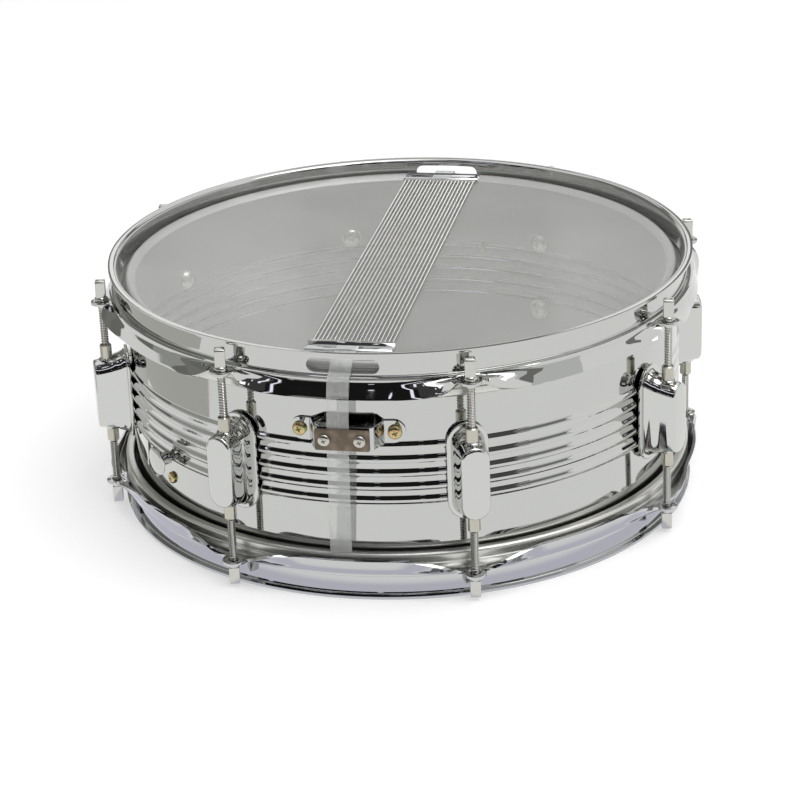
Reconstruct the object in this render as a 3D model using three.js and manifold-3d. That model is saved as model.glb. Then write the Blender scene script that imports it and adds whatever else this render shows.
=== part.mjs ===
import * as THREE from "three";
import { mergeVertices } from "three/addons/utils/BufferGeometryUtils.js";
import Module from "manifold-3d";

const wasm = await Module();
wasm.setup();

// A 14 inch snare drum with a beaded steel shell, standing on its batter hoop with the snare side up.
// Lengths are millimetres. The origin is on the drum's axis in the plane of the batter hoop's rim.
// Round the drum, each fitting has a frame of its own: +X points out from the axis, +Y runs
// anticlockwise along the shell as seen from above, and +Z points up.

// Driving sizes
const drumHeight = 157; // from one hoop's rim plane to the other's
const shellRadius = 177;
const shellWall = 1.2;
const contactGap = 0.3; // left between faces that touch on the real drum
const overrun = 2; // how far a cutter runs past what it cuts
const seatGap = 0.6; // under the heads of screws on bent plates
const bracketFall = 14; // room for a bracket's ends, which lie lower round the shell

// Beads rolled into the shell
const beadCount = 5;
const beadPitch = 8.7;
const beadWidth = 3.6;
const beadHeight = 1.2;

// Bearing edges, rolled in from the shell
const edgeInset = 2.6; // crest, in from the shell's outer face
const edgeRise = 9; // height of the curved stretch below the crest
const edgeFlange = 5; // reach of the lip inside the crest
const edgeDrop = 3; // fall of the lip

// Heads
const headDrop = 7.9; // from the rim plane down to the film
const filmThickness = 0.3;
const fleshWidth = 5.4;
const fleshHeight = 12;
const fleshClearance = 0.8; // round the beads

// Triple-flanged hoops
const hoopSteel = 1.8;
const hoopClearance = 3.4; // from the shell to the hoop's upright wall
const lipReach = 5.6; // of the rim's flange, out from the wall's inner face
const lipBend = 1.8;
const shoulderDepth = 16.4; // rim plane to the underside of the shoulder
const shoulderBend = 1.5;
const shoulderCorner = 0.5; // inner rounding where the skirt turns down
const shoulderCornerFall = 0.8;
const skirtClearance = 0.9; // round the flesh hoop
const skirtDepth = 27; // rim plane to the lowest edge, midway between lugs
const skirtBulge = 1.4;
const earDepth = 16; // rim plane to the ears' outer face
const earThickness = 2;
const earHalfWidth = 9;
const earTipRadius = 6.8;
const gateTop = 4.6; // snare gate, down from the rim plane
const gateBottom = 13.4;
const gateWidth = 43;

// Tension rods
const rodCount = 8; // each side
const rodRadius = 2.6;
const rodClearance = 0.3;
const rodToSkirt = 0.9;
const rodHeadSquare = 6.4;
const rodHeadRecess = 2.4; // head's end, in from the rim plane
const rodCollarRadius = 4.2;
const rodCollarHeight = 2.4;
const rodEngagement = 17; // length inside the swivel nut

// Lugs
const lugPlateWidth = 25;
const lugPlateHeight = 62;
const lugPlateThickness = 2;
const lugFootWidth = 20.5;
const lugFootHeight = 57;
const lugFaceWidth = 17.2;
const lugFaceHeight = 46;
const lugNose = 9; // from the rod's axis to the front
const lugRound = 2.4; // depth over which the front face bulges
const nutRadius = 3.75;
const nutSpan = 66; // over the outer ends of the two swivel nuts
const nutDepth = 24; // how far a nut's bore runs in
const lugScrewOffset = 25; // above and below the middle
const lugScrewRadius = 2;
const lugScrewHeadRadius = 4.6;
const lugScrewHeadHeight = 2.6;
const screwClearance = 0.4;

// Snare wires and their end plates
const strandCount = 20;
const strandPitch = 2.5;
const strandRadius = 0.95;
const strandInset = 24; // strands' ends, in from the shell
const solderLength = 3;
const solderCover = 0.15; // solder over and under the strands
const endPlateLength = 12;
const endPlateHeight = 2.8;
const endPlateMargin = 1.2;
const strapWidth = 13;
const strapThickness = 0.5;
const strapGrip = 8; // length inside the end plate
const strapClear = 0.4;

// Butt plate
const buttHeight = 14;
const buttBeadClearance = 1.3; // above the uppermost bead
const buttHalfSpan = 34.5;
const buttScrewSpacing = 56;
const buttSteel = 1.5;
const bridgeHalfWidth = 16.5;
const bridgeStandoff = 10.7; // from the shell to the bridge's inner face
const legFoot = 21; // half distance between the legs at the shell
const buttStrapShift = -1.5;
const buttTailRise = 2.7; // strap's end, above the batter hoop's skirt
const tailStandoff = 6.2; // strap's tail off the shell
const clampWidth = 32.5;
const clampHeight = 13;
const clampThickness = 2.2;
const clampScrewSpacing = 21;

// Machine screws of the strap clamps and fittings
const clampScrewRadius = 1.5;
const clampScrewHeadRadius = 3.7;
const clampScrewHeadHeight = 2;
const clampScrewLength = 9;
const fixingScrewRadius = 2;
const fixingScrewHeadRadius = 4.3;
const fixingScrewHeadHeight = 2.6;
const fixingScrewLength = 8;

// Strainer
const strainerScrewRise = 15.5; // above mid height, as the next four
const backPlateRise = 33.5;
const cheekRise = 21.5;
const carriageFootRise = 1.5;
const carriageRise = 33.5;
const backPlateFall = 13.5; // below mid height
const strainerScrewSpacing = 52;
const strainerEarHalfSpan = 32;
const strainerEarHeight = 13;
const backPlateHalfWidth = 14.5;
const backPlateThickness = 2;
const cheekThickness = 2;
const cheekDepth = 17.5;
const shelfThickness = 2.5;
const carriageDepth = 10.7;
const leverClearance = 1.2; // to the carriage
const leverPinRadius = 2;
const leverPinHeadRadius = 3.2;
const leverPinHeadLength = 1.2;
const leverHubRadius = 4.2;
const leverAxisHeight = 9; // pin's axis above the cheeks' foot
const leverLength = 23.5;
const leverThickness = 2.6;
const leverHalfWidth = 9.5;
const leverTab = 11;
const tensionKnobRadius = 8;
const tensionKnobHeight = 12;
const tensionKnobClearance = 1.2; // to the shell
const tensionScrewRadius = 2;
const tensionScrewLength = 34;
const strainerClampHeight = 11;
const strainerClampHalfWidth = 12;
const strainerClampScrewSpacing = 18;

// Muffler
const mufflerFall = 18; // knob's axis, below mid height
const mufflerDiscRadius = 9.2;
const mufflerDiscThickness = 2.2;
const mufflerStemRadius = 4;
const mufflerStemLength = 8;
const mufflerShaftRadius = 2.5;
const mufflerShaftTail = 4.5; // past the bracket's plate
const mufflerScrewDrop = 14.2; // fixing screw below the knob
const mufflerPlateWidth = 22;
const mufflerPlateHeight = 30;
const mufflerPlateRise = 7.5; // above the knob's axis
const mufflerPlateThickness = 1.5;
const mufflerPlateSag = 0.8; // the flat plate's edges meet the round wall before its middle does
const mufflerEarReach = 13;
const mufflerEarHeight = 12;
const mufflerEarThickness = 1.5;
const mufflerPivotInset = 4; // from the ears' tips to the pivot
const mufflerPivotRadius = 1.8;
const mufflerHubRadius = 3.4;
const mufflerArmWidth = 13;
const mufflerArmThickness = 1.6;
const mufflerArmRun = 26;
const padLength = 28;
const padWidth = 44;
const padHeight = 9;
const padRest = 8.8; // from the felt to the batter head, when it is off

// Air vent
const ventRadius = 5;
const ventTubeWall = 1.4;
const ventFlange = 3;
const ventFlangeThickness = 1.4;
const ventTail = 2; // of the tube, inside the shell

// Places round the drum, degrees anticlockwise from +X
const bayAngle = 360 / rodCount;
const buttAngle = -2.5 * bayAngle;
const strainerAngle = 1.5 * bayAngle;
const mufflerAngle = -156.5;
const ventAngle = 3.5 * bayAngle;

// Facet counts
const roundSides = 48;
const hoopSides = 56;
const lugEndSteps = 4;
const boreSides = 8;
const shaftSides = 8;
const screwSides = 6;
const strandSides = 6;
const tipSteps = 4;
const hubSides = 12;
const discSides = 16;

// What follows from the driving sizes
const midHeight = drumHeight / 2;
const beadCrest = shellRadius + beadHeight;
const filmOuter = drumHeight - headDrop;
const filmInner = filmOuter - filmThickness;
const edgeCrest = filmInner - contactGap;
const fleshInner = beadCrest + fleshClearance;
const fleshOuter = fleshInner + fleshWidth;
const flangeTop = drumHeight - shoulderDepth - contactGap;
const fleshTop = flangeTop - filmThickness - contactGap;
const wallInner = shellRadius + hoopClearance;
const wallOuter = wallInner + hoopSteel;
const lipRadius = wallInner + lipReach;
const skirtInner = fleshOuter + skirtClearance;
const skirtOuter = skirtInner + skirtBulge + hoopSteel;
const rodCircle = skirtOuter + rodRadius + rodToSkirt;
const lugFront = rodCircle + lugNose;
const lugBack = beadCrest + contactGap;
const shellInner = shellRadius - shellWall;
const strandReach = shellRadius - strandInset;
const beadsHalfSpan = ((beadCount - 1) * beadPitch + beadWidth) / 2;
const buttZ = midHeight + beadsHalfSpan + buttBeadClearance + buttHeight / 2;
const strainerZ = midHeight + strainerScrewRise;
const backPlateBottom = midHeight - backPlateFall;
const backPlateTop = midHeight + backPlateRise;
const cheekTop = midHeight + cheekRise;
const carriageBottom = midHeight + carriageFootRise;
const carriageTop = midHeight + carriageRise;
const mufflerZ = midHeight - mufflerFall;
const padTop = headDrop + filmThickness + padRest + padHeight;

// Geometry helpers
const weldReach = 1e-4; // corners nearer than this are one

// A three.js geometry as a solid whose faces point out.
function solid(geometry) {
  const bare = geometry.clone();
  bare.deleteAttribute("normal");
  bare.deleteAttribute("uv");
  const merged = mergeVertices(bare, weldReach);
  const corners = merged.index.array;
  const kept = [];
  for (let i = 0; i < corners.length; i += 3) {
    const [a, b, c] = corners.slice(i, i + 3);
    if (a !== b && b !== c && c !== a) kept.push(a, b, c);
  }
  const make = (order) =>
    new wasm.Manifold(
      new wasm.Mesh({
        numProp: 3,
        vertProperties: merged.getAttribute("position").array,
        triVerts: new Uint32Array(order),
      }),
    );
  const made = make(kept);
  return made.volume() < 0 ? make(kept.reverse()) : made;
}

// A solid as a three.js geometry with flat facets.
function geometryOf(made) {
  const { vertProperties, triVerts, numProp } = made.getMesh();
  const places = new Float32Array(triVerts.length * 3);
  triVerts.forEach((corner, i) => {
    for (let axis = 0; axis < 3; axis += 1) {
      places[i * 3 + axis] = vertProperties[corner * numProp + axis];
    }
  });
  const geometry = new THREE.BufferGeometry();
  geometry.setAttribute("position", new THREE.BufferAttribute(places, 3));
  geometry.computeVertexNormals();
  return geometry;
}

// Corner radius of a hole of so many sides that clears a round of some radius.
const holeRound = (radius, clearance, sides) => radius / Math.cos(Math.PI / sides) + clearance;

const union = (solids) => solids.reduce((a, b) => a.add(b));
const cut = (body, tools) => tools.reduce((a, b) => a.subtract(b), body);
const turn = (body, degrees) => body.rotate([0, 0, degrees]);
const radians = THREE.MathUtils.degToRad;

// A body turned over to the drum's other end.
const turnedOver = (body) => body.mirror([0, 0, 1]).translate([0, 0, drumHeight]);

// A profile of [radius, height] points turned about the Z axis.
function latheZ(profile, sides) {
  const points = profile.map(([radius, height]) => new THREE.Vector2(radius, height));
  const closed = profile[0][0] === 0 && profile.at(-1)[0] === 0;
  if (!closed) points.push(points[0].clone());
  return new THREE.LatheGeometry(points, sides).rotateX(Math.PI / 2);
}

function rodZ(radius, low, high, sides) {
  const profile = [[0, low], [radius, low], [radius, high], [0, high]];
  return solid(latheZ(profile, sides));
}

// A cylinder along +X, at height z and tangential place y.
function rodX(radius, from, to, y, z, sides) {
  return rodZ(radius, from, to, sides).rotate([0, 90, 0]).translate([0, y, z]);
}

// A cylinder along Y, at place x and height z.
function rodY(radius, from, to, x, z, sides) {
  return rodZ(radius, from, to, sides).rotate([-90, 0, 0]).translate([x, 0, z]);
}

function box([x0, x1], [y0, y1], [z0, z1]) {
  const geometry = new THREE.BoxGeometry(x1 - x0, y1 - y0, z1 - z0);
  geometry.translate((x0 + x1) / 2, (y0 + y1) / 2, (z0 + z1) / 2);
  return solid(geometry);
}

function extruded(shape, depth) {
  return new THREE.ExtrudeGeometry(shape, { depth, bevelEnabled: false, curveSegments: tipSteps });
}

function polygon(points) {
  return new THREE.Shape(points.map(([x, y]) => new THREE.Vector2(x, y)));
}

// A shape drawn in plan, standing from low to high.
function prismZ(shape, low, high) {
  return solid(extruded(shape, high - low).translate(0, 0, low));
}

// A shape drawn in (x, z), running along Y from low to high.
function prismY(shape, low, high) {
  return solid(extruded(shape, high - low).rotateX(Math.PI / 2).translate(0, high, 0));
}

// A shape drawn in (y, z), running along X from low to high.
function prismX(shape, low, high) {
  const standing = extruded(shape, high - low).rotateX(Math.PI / 2).rotateZ(Math.PI / 2);
  return solid(standing.translate(low, 0, 0));
}

// The closed outline of a sheet whose one face follows a path; the sheet lies to the path's right.
function sheet(path, thickness) {
  const normals = path.slice(1).map(([x, y], i) => {
    const along = new THREE.Vector2(x - path[i][0], y - path[i][1]).normalize();
    return new THREE.Vector2(along.y, -along.x);
  });
  const back = path.map(([x, y], i) => {
    const before = normals[Math.max(i - 1, 0)];
    const after = normals[Math.min(i, normals.length - 1)];
    const mitre = before.clone().add(after).normalize();
    const reach = thickness / mitre.dot(after);
    return [x + mitre.x * reach, y + mitre.y * reach];
  });
  return [...path, ...back.reverse()];
}

function stadium(width, height) {
  const radius = width / 2;
  const straight = height / 2 - radius;
  const shape = new THREE.Shape();
  shape.absarc(0, straight, radius, 0, Math.PI, false);
  shape.absarc(0, -straight, radius, Math.PI, Math.PI * 2, false);
  return shape;
}

// Rings of points with as many points each, joined into a closed body.
function loft(rings) {
  const count = rings[0].length;
  const places = rings.flat(2);
  const faces = [];
  for (let r = 0; r + 1 < rings.length; r += 1) {
    for (let i = 0; i < count; i += 1) {
      const a = r * count + i;
      const b = r * count + ((i + 1) % count);
      faces.push(a, b, b + count, a, b + count, a + count);
    }
  }
  const last = (rings.length - 1) * count;
  for (let i = 1; i + 1 < count; i += 1) {
    faces.push(0, i + 1, i);
    faces.push(last, last + i, last + i + 1);
  }
  const geometry = new THREE.BufferGeometry();
  geometry.setAttribute("position", new THREE.Float32BufferAttribute(places, 3));
  geometry.setIndex(faces);
  return solid(geometry);
}

// Finishes
const finish = (color, roughness, metalness) =>
  new THREE.MeshStandardMaterial({ color, roughness, metalness });
const chrome = finish(0xc4c7c2, 0.08, 1);
const castChrome = finish(0xbfc3bf, 0.12, 1);
const aluminium = finish(0xb4b1a8, 0.35, 1);
const rodSteel = finish(0xb9b7ae, 0.22, 1);
const zincScrew = finish(0x9a8440, 0.35, 1);
const silverScrew = finish(0xc9c3bc, 0.25, 1);
const clampMetal = finish(0x8d7a70, 0.5, 0.8);
const clearFilm = finish(0xa9aaa6, 0.1, 0);
const coatedFilm = finish(0xe9e9e6, 0.6, 0);
const clearStrap = finish(0xc9d0cb, 0.2, 0);
const felt = finish(0xd8d5cc, 0.95, 0);
const plastic = finish(0x26272a, 0.45, 0);

// The part
const drum = new THREE.Group();
drum.name = "snare_drum";

function place(name, body, material, parent = drum) {
  const mesh = new THREE.Mesh(geometryOf(body), material.clone());
  mesh.name = name;
  parent.add(mesh);
}

// A frame on the drum's side, turned to its place.
function sideFrame(degrees) {
  const group = new THREE.Group();
  group.rotation.z = radians(degrees);
  drum.add(group);
  return group;
}

// Degrees from a fitting's middle to a place on the shell so far to its side.
const offAngle = (aside) => THREE.MathUtils.radToDeg(Math.asin(aside / shellRadius));

// Shell
const screwHoles = [
  ...[-1, 1].map((side) => [
    buttAngle + side * offAngle(buttScrewSpacing / 2),
    buttZ,
    fixingScrewRadius,
  ]),
  ...[-1, 1].map((side) => [
    strainerAngle + side * offAngle(strainerScrewSpacing / 2),
    strainerZ,
    fixingScrewRadius,
  ]),
  [mufflerAngle, mufflerZ, mufflerShaftRadius],
  [mufflerAngle, mufflerZ - mufflerScrewDrop, clampScrewRadius],
  [ventAngle, midHeight, ventRadius + ventTubeWall],
];
for (let i = 0; i < rodCount; i += 1) {
  for (const side of [-1, 1]) {
    screwHoles.push([i * bayAngle, midHeight + side * lugScrewOffset, lugScrewRadius]);
  }
}

const edgeBendShare = 0.42;
const edgeBendInShare = 0.2;

function shell() {
  const foot = drumHeight - edgeCrest;
  const upper = [
    [shellRadius, edgeCrest - edgeRise],
    [shellRadius - edgeInset * edgeBendInShare, edgeCrest - edgeRise * edgeBendShare],
    [shellRadius - edgeInset, edgeCrest],
    [shellRadius - edgeInset - edgeFlange, edgeCrest - edgeDrop],
  ];
  const lower = upper.map(([radius, height]) => [radius, foot + edgeCrest - height]).reverse();
  const beads = [];
  for (let i = 0; i < beadCount; i += 1) {
    const middle = midHeight + (i - (beadCount - 1) / 2) * beadPitch;
    const half = beadWidth / 2;
    beads.push([shellRadius, middle - half], [beadCrest, middle], [shellRadius, middle + half]);
  }
  const wall = [...lower, ...beads, ...upper].reverse();
  const body = solid(latheZ(sheet(wall, shellWall), roundSides));
  const bores = screwHoles.map(([degrees, height, radius]) => {
    const ends = [shellRadius - edgeFlange - overrun, beadCrest + overrun];
    const bore = rodX(holeRound(radius, screwClearance, boreSides), ...ends, 0, height, boreSides);
    return turn(bore, degrees);
  });
  place("shell", cut(body, bores), chrome);
}

// Hoops. Depths are measured from the rim plane towards the middle of the drum.
const scallopStart = shoulderDepth + shoulderCornerFall;
const scallopFlatAngle = 1.7; // half width of the raised stretch at an ear
const scallopSweepAngle = 10; // where the skirt has come down to its full depth
const scallopLeastShare = 0.06;
const skirtBulgeShare = 0.5;
const skirtTuckShare = 0.6;

function scallopShare(degrees) {
  const bays = degrees / bayAngle;
  const off = Math.abs(bays - Math.round(bays)) * bayAngle;
  const swept = THREE.MathUtils.smoothstep(off, scallopFlatAngle, scallopSweepAngle);
  return scallopLeastShare + (1 - scallopLeastShare) * swept;
}

function hoopRing() {
  const path = [
    [lipRadius, 0],
    [wallInner + lipBend, 0],
    [wallInner, lipBend],
    [wallInner, shoulderDepth - shoulderBend],
    [wallInner + shoulderBend, shoulderDepth],
    [skirtInner - shoulderCorner, shoulderDepth],
    [skirtInner, scallopStart],
    [skirtInner + skirtBulge, THREE.MathUtils.lerp(scallopStart, skirtDepth, skirtBulgeShare)],
    [skirtInner + skirtBulge * skirtTuckShare, skirtDepth],
  ];
  const geometry = latheZ(sheet(path, hoopSteel), hoopSides);
  const places = geometry.getAttribute("position");
  for (let i = 0; i < places.count; i += 1) {
    const depth = places.getZ(i);
    const degrees = THREE.MathUtils.radToDeg(Math.atan2(places.getY(i), places.getX(i)));
    if (depth > scallopStart) {
      places.setZ(i, scallopStart + (depth - scallopStart) * scallopShare(degrees));
    }
  }
  return solid(geometry);
}

function hoopEar() {
  const root = skirtInner + hoopSteel / 2;
  const outline = new THREE.Shape();
  outline.moveTo(root, -earHalfWidth);
  outline.absarc(rodCircle, 0, earTipRadius, -Math.PI / 2, Math.PI / 2, false);
  outline.lineTo(root, earHalfWidth);
  return prismZ(outline, earDepth, earDepth + earThickness);
}

function hoop(gated) {
  const angles = Array.from({ length: rodCount }, (_, i) => i * bayAngle);
  const ears = angles.map((degrees) => turn(hoopEar(), degrees));
  const holes = angles.map((degrees) => {
    const hole = rodZ(holeRound(rodRadius, rodClearance, boreSides), 0, skirtDepth, boreSides);
    return turn(hole.translate([rodCircle, 0, 0]), degrees);
  });
  const gateReach = [wallInner - overrun, wallOuter + overrun];
  const gates = [buttAngle, strainerAngle].map((degrees) => {
    const slot = stadium(gateBottom - gateTop, gateWidth);
    const lying = prismX(slot, ...gateReach).rotate([90, 0, 0]);
    return turn(lying.translate([0, 0, (gateTop + gateBottom) / 2]), degrees);
  });
  return cut(union([hoopRing(), ...ears]), gated ? [...holes, ...gates] : holes);
}

function hoops() {
  place("batter_hoop", hoop(false), chrome);
  place("snare_side_hoop", turnedOver(hoop(true)), chrome);
}

// Heads: a film drawn over the bearing edge, with its flesh hoop under the shoulder
const collarShare = 0.12; // of the flesh hoop's width, where the film meets it

function film() {
  const path = [
    [0, filmOuter],
    [shellRadius - edgeInset + contactGap, filmOuter],
    [fleshInner + fleshWidth * collarShare, flangeTop],
    [fleshOuter - contactGap, flangeTop],
  ];
  return solid(latheZ(sheet(path, filmThickness), roundSides));
}

function fleshHoop() {
  const bottom = fleshTop - fleshHeight;
  const profile = [
    [fleshInner, bottom],
    [fleshOuter, bottom],
    [fleshOuter, fleshTop],
    [fleshInner, fleshTop],
  ];
  return solid(latheZ(profile, roundSides));
}

function heads() {
  place("snare_side_head_film", film(), clearFilm);
  place("snare_side_flesh_hoop", fleshHoop(), aluminium);
  place("batter_head_film", turnedOver(film()), coatedFilm);
  place("batter_flesh_hoop", turnedOver(fleshHoop()), aluminium);
}

// Lugs: casing, both swivel nuts and the two mounting screws through the shell
const lugWaistShare = 0.55; // of the depth, where the sides stop falling in
const lugWaistSizeShare = 0.3; // of the way from foot to face, there
const lugTipShare = 0.62; // size of the flat in the middle of the front face

function lugRing(x, width, height) {
  return stadium(width, height)
    .getPoints(lugEndSteps)
    .map(({ x: y, y: z }) => [x, y, z]);
}

function lugCasing() {
  const foot = lugBack + lugPlateThickness - contactGap;
  const face = lugFront - lugRound;
  const mix = THREE.MathUtils.lerp;
  const rings = [
    lugRing(foot, lugFootWidth, lugFootHeight),
    lugRing(
      mix(foot, face, lugWaistShare),
      mix(lugFaceWidth, lugFootWidth, lugWaistSizeShare),
      mix(lugFaceHeight, lugFootHeight, lugWaistSizeShare),
    ),
    lugRing(face, lugFaceWidth, lugFaceHeight),
    lugRing(lugFront, lugFaceWidth * lugTipShare, lugFaceHeight * lugTipShare),
  ];
  const plate = prismX(stadium(lugPlateWidth, lugPlateHeight), lugBack, lugBack + lugPlateThickness);
  return plate.add(loft(rings));
}

function lugScrew(z) {
  const head = shellInner - contactGap;
  const inner = head - lugScrewHeadHeight;
  const shank = rodX(lugScrewRadius, inner, lugBack + lugPlateThickness / 2, 0, z, screwSides);
  return shank.add(rodX(lugScrewHeadRadius, inner, head, 0, z, screwSides));
}

function lug() {
  const outer = nutSpan / 2;
  const nuts = rodZ(nutRadius, -outer, outer, boreSides).translate([rodCircle, 0, 0]);
  const screws = [-1, 1].map((side) => lugScrew(side * lugScrewOffset));
  const bores = [-1, 1].map((side) => {
    const ends = [side * (outer - nutDepth), side * (outer + overrun)].sort((a, b) => a - b);
    const radius = holeRound(rodRadius, rodClearance, shaftSides);
    return rodZ(radius, ...ends, shaftSides).translate([rodCircle, 0, 0]);
  });
  return cut(union([lugCasing(), nuts, ...screws]), bores).translate([0, 0, midHeight]);
}

function tensionRod() {
  const tip = midHeight + nutSpan / 2 - rodEngagement;
  const collarLow = drumHeight - earDepth + contactGap;
  const collarHigh = collarLow + rodCollarHeight;
  const profile = [
    [0, tip],
    [rodRadius, tip],
    [rodRadius, collarLow],
    [rodCollarRadius, collarLow],
    [rodCollarRadius, collarHigh],
    [0, collarHigh],
  ];
  const half = rodHeadSquare / 2;
  const head = box([-half, half], [-half, half], [collarHigh - contactGap, drumHeight - rodHeadRecess]);
  return solid(latheZ(profile, shaftSides)).add(head).translate([rodCircle, 0, 0]);
}

function lugsAndRods() {
  const rod = tensionRod();
  const casing = lug();
  for (let i = 0; i < rodCount; i += 1) {
    const frame = sideFrame(i * bayAngle);
    place(`lug_${i + 1}`, casing, castChrome, frame);
    place(`snare_side_tension_rod_${i + 1}`, rod, rodSteel, frame);
    place(`batter_tension_rod_${i + 1}`, turnedOver(rod), rodSteel, frame);
  }
}

const clampHole = holeRound(clampScrewRadius, screwClearance, shaftSides);
const fixingHole = holeRound(fixingScrewRadius, screwClearance, shaftSides);
const tensionHole = holeRound(tensionScrewRadius, rodClearance, boreSides);
const leverPinHole = holeRound(leverPinRadius, rodClearance, boreSides);

// Screws with a pan head, along X, with the head's underside at a seat
const panTopShare = 0.62;
const panSideShare = 0.45;

function panScrew(seat, headRadius, headHeight, shankRadius, length) {
  const profile = [
    [0, seat - length],
    [shankRadius, seat - length],
    [shankRadius, seat],
    [headRadius, seat],
    [headRadius, seat + headHeight * panSideShare],
    [headRadius * panTopShare, seat + headHeight],
    [0, seat + headHeight],
  ];
  return solid(latheZ(profile, shaftSides)).rotate([0, 90, 0]);
}

const clampScrew = (seat) =>
  panScrew(seat, clampScrewHeadRadius, clampScrewHeadHeight, clampScrewRadius, clampScrewLength);
const fixingScrew = (seat) =>
  panScrew(seat, fixingScrewHeadRadius, fixingScrewHeadHeight, fixingScrewRadius, fixingScrewLength);

// Snare wires, along X from the butt side to the strainer side
const wireFoot = filmOuter + contactGap;
const bandWidth = strandPitch * (strandCount - 1) + strandRadius * 2;

function snareWires() {
  const middle = wireFoot + solderCover + strandRadius;
  const strands = [];
  for (let i = 0; i < strandCount; i += 1) {
    const y = (i - (strandCount - 1) / 2) * strandPitch;
    strands.push(rodX(strandRadius, -strandReach, strandReach, y, middle, strandSides));
  }
  const half = bandWidth / 2 + solderCover;
  const thick = strandRadius + solderCover;
  const strips = [-1, 1].map((side) => {
    const ends = [side * (strandReach - solderLength), side * (strandReach + solderCover)];
    return box(ends.sort((a, b) => a - b), [-half, half], [middle - thick, middle + thick]);
  });
  place("snare_wires", union([...strands, ...strips]), rodSteel, sideFrame(strainerAngle));
}

// Strap's underside, where it leaves the end plate
const strapLow = wireFoot + (endPlateHeight - strapThickness) / 2;
const endPlateInner = strandReach + solderCover + contactGap;
const endPlateOuter = endPlateInner + endPlateLength;

function endPlate(strapShift) {
  const half = bandWidth / 2 + endPlateMargin;
  const plate = box([endPlateInner, endPlateOuter], [-half, half], [wireFoot, wireFoot + endPlateHeight]);
  const slotHalf = strapWidth / 2 + strapClear;
  const slot = box(
    [endPlateOuter - strapGrip - strapClear, endPlateOuter + overrun],
    [strapShift - slotHalf, strapShift + slotHalf],
    [strapLow - strapClear, strapLow + strapThickness + strapClear],
  );
  return plate.subtract(slot);
}

// The strap's drum-side face from the end plate through the gate and over the skirt, then down
function strap(shift, below) {
  const shoulder = drumHeight - shoulderDepth + hoopSteel;
  const skirtMiddle = drumHeight - THREE.MathUtils.lerp(scallopStart, skirtDepth, skirtBulgeShare);
  const path = [
    [endPlateOuter - strapGrip, strapLow],
    [shellRadius - edgeInset, strapLow],
    [wallOuter + strapClear, drumHeight - gateBottom + strapClear],
    [skirtInner + hoopSteel / 2, shoulder + strapClear],
    [skirtInner + hoopSteel + strapClear, drumHeight - scallopStart + hoopSteel],
    [skirtOuter + strapClear, skirtMiddle],
    [skirtOuter + strapClear, drumHeight - skirtDepth],
    ...below,
  ];
  const outline = sheet(path.reverse(), strapThickness).reverse();
  return prismY(polygon(outline), shift - strapWidth / 2, shift + strapWidth / 2);
}

// A place on a circle round the drum's axis, [x, y] at a tangential distance y
const onCircle = (radius, y) => [Math.sqrt(radius * radius - y * y), y];

// Butt plate: bridge bracket on the shell, strap clamped on its face
const bridgeFace = shellRadius + bridgeStandoff + buttSteel;
const buttClampBack = bridgeFace + strapThickness + contactGap * 2;

function buttBracket() {
  const seat = shellRadius + contactGap;
  const half = [
    onCircle(seat, buttHalfSpan),
    onCircle(seat, buttScrewSpacing / 2),
    onCircle(seat, legFoot),
    [shellRadius + bridgeStandoff, bridgeHalfWidth],
  ];
  const path = [...half, ...half.map(([x, y]) => [x, -y]).reverse()].reverse();
  const [low, high] = [buttZ - buttHeight / 2, buttZ + buttHeight / 2];
  const bent = prismZ(polygon(sheet(path, buttSteel)), low, high);
  const outline = stadium(buttHeight, buttHalfSpan * 2);
  const rounding = prismX(outline, shellInner - bracketFall, bridgeFace + overrun)
    .rotate([90, 0, 0])
    .translate([0, 0, buttZ]);
  const clampHoles = [-1, 1].map((side) => {
    const y = (side * clampScrewSpacing) / 2;
    return rodX(clampHole, shellRadius, bridgeFace + overrun, y, buttZ, shaftSides);
  });
  const fixingHoles = [-1, 1].map((side) => {
    const hole = rodX(fixingHole, shellInner, seat + buttSteel + overrun, 0, buttZ, shaftSides);
    return turn(hole, side * offAngle(buttScrewSpacing / 2));
  });
  return cut(bent.intersect(rounding), [...clampHoles, ...fixingHoles]);
}

function clampPlate(back, halfWidth, height, z, spacing) {
  const heights = [z - height / 2, z + height / 2];
  const plate = box([back, back + clampThickness], [-halfWidth, halfWidth], heights);
  const holes = [-1, 1].map((side) => {
    const ends = [back - overrun, back + clampThickness + overrun];
    return rodX(clampHole, ...ends, (side * spacing) / 2, z, shaftSides);
  });
  return cut(plate, holes);
}

function buttSide() {
  const frame = sideFrame(buttAngle);
  place("butt_plate_bracket", buttBracket(), chrome, frame);
  const plate = clampPlate(buttClampBack, clampWidth / 2, clampHeight, buttZ, clampScrewSpacing);
  place("butt_clamp_plate", plate, clampMetal, frame);
  const seat = buttClampBack + clampThickness + contactGap;
  const ends = { left: -1, right: 1 };
  for (const [word, side] of Object.entries(ends)) {
    const y = (side * clampScrewSpacing) / 2;
    place(`butt_clamp_screw_${word}`, clampScrew(seat).translate([0, y, buttZ]), silverScrew, frame);
    const head = shellRadius + contactGap + buttSteel + seatGap;
    const screw = fixingScrew(head).translate([0, 0, buttZ]);
    const bearing = buttAngle + side * offAngle(buttScrewSpacing / 2);
    place(`butt_mount_screw_${word}`, screw, zincScrew, sideFrame(bearing));
  }
  place("snare_end_plate_butt", endPlate(buttStrapShift), chrome, frame);
  const strapX = bridgeFace + contactGap;
  const below = [
    [strapX, buttZ + buttHeight / 2 + strapClear],
    [strapX, buttZ - buttHeight / 2],
    [shellRadius + tailStandoff, skirtDepth + buttTailRise],
  ];
  place("butt_strap", strap(buttStrapShift, below), clearStrap, frame);
}

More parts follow.
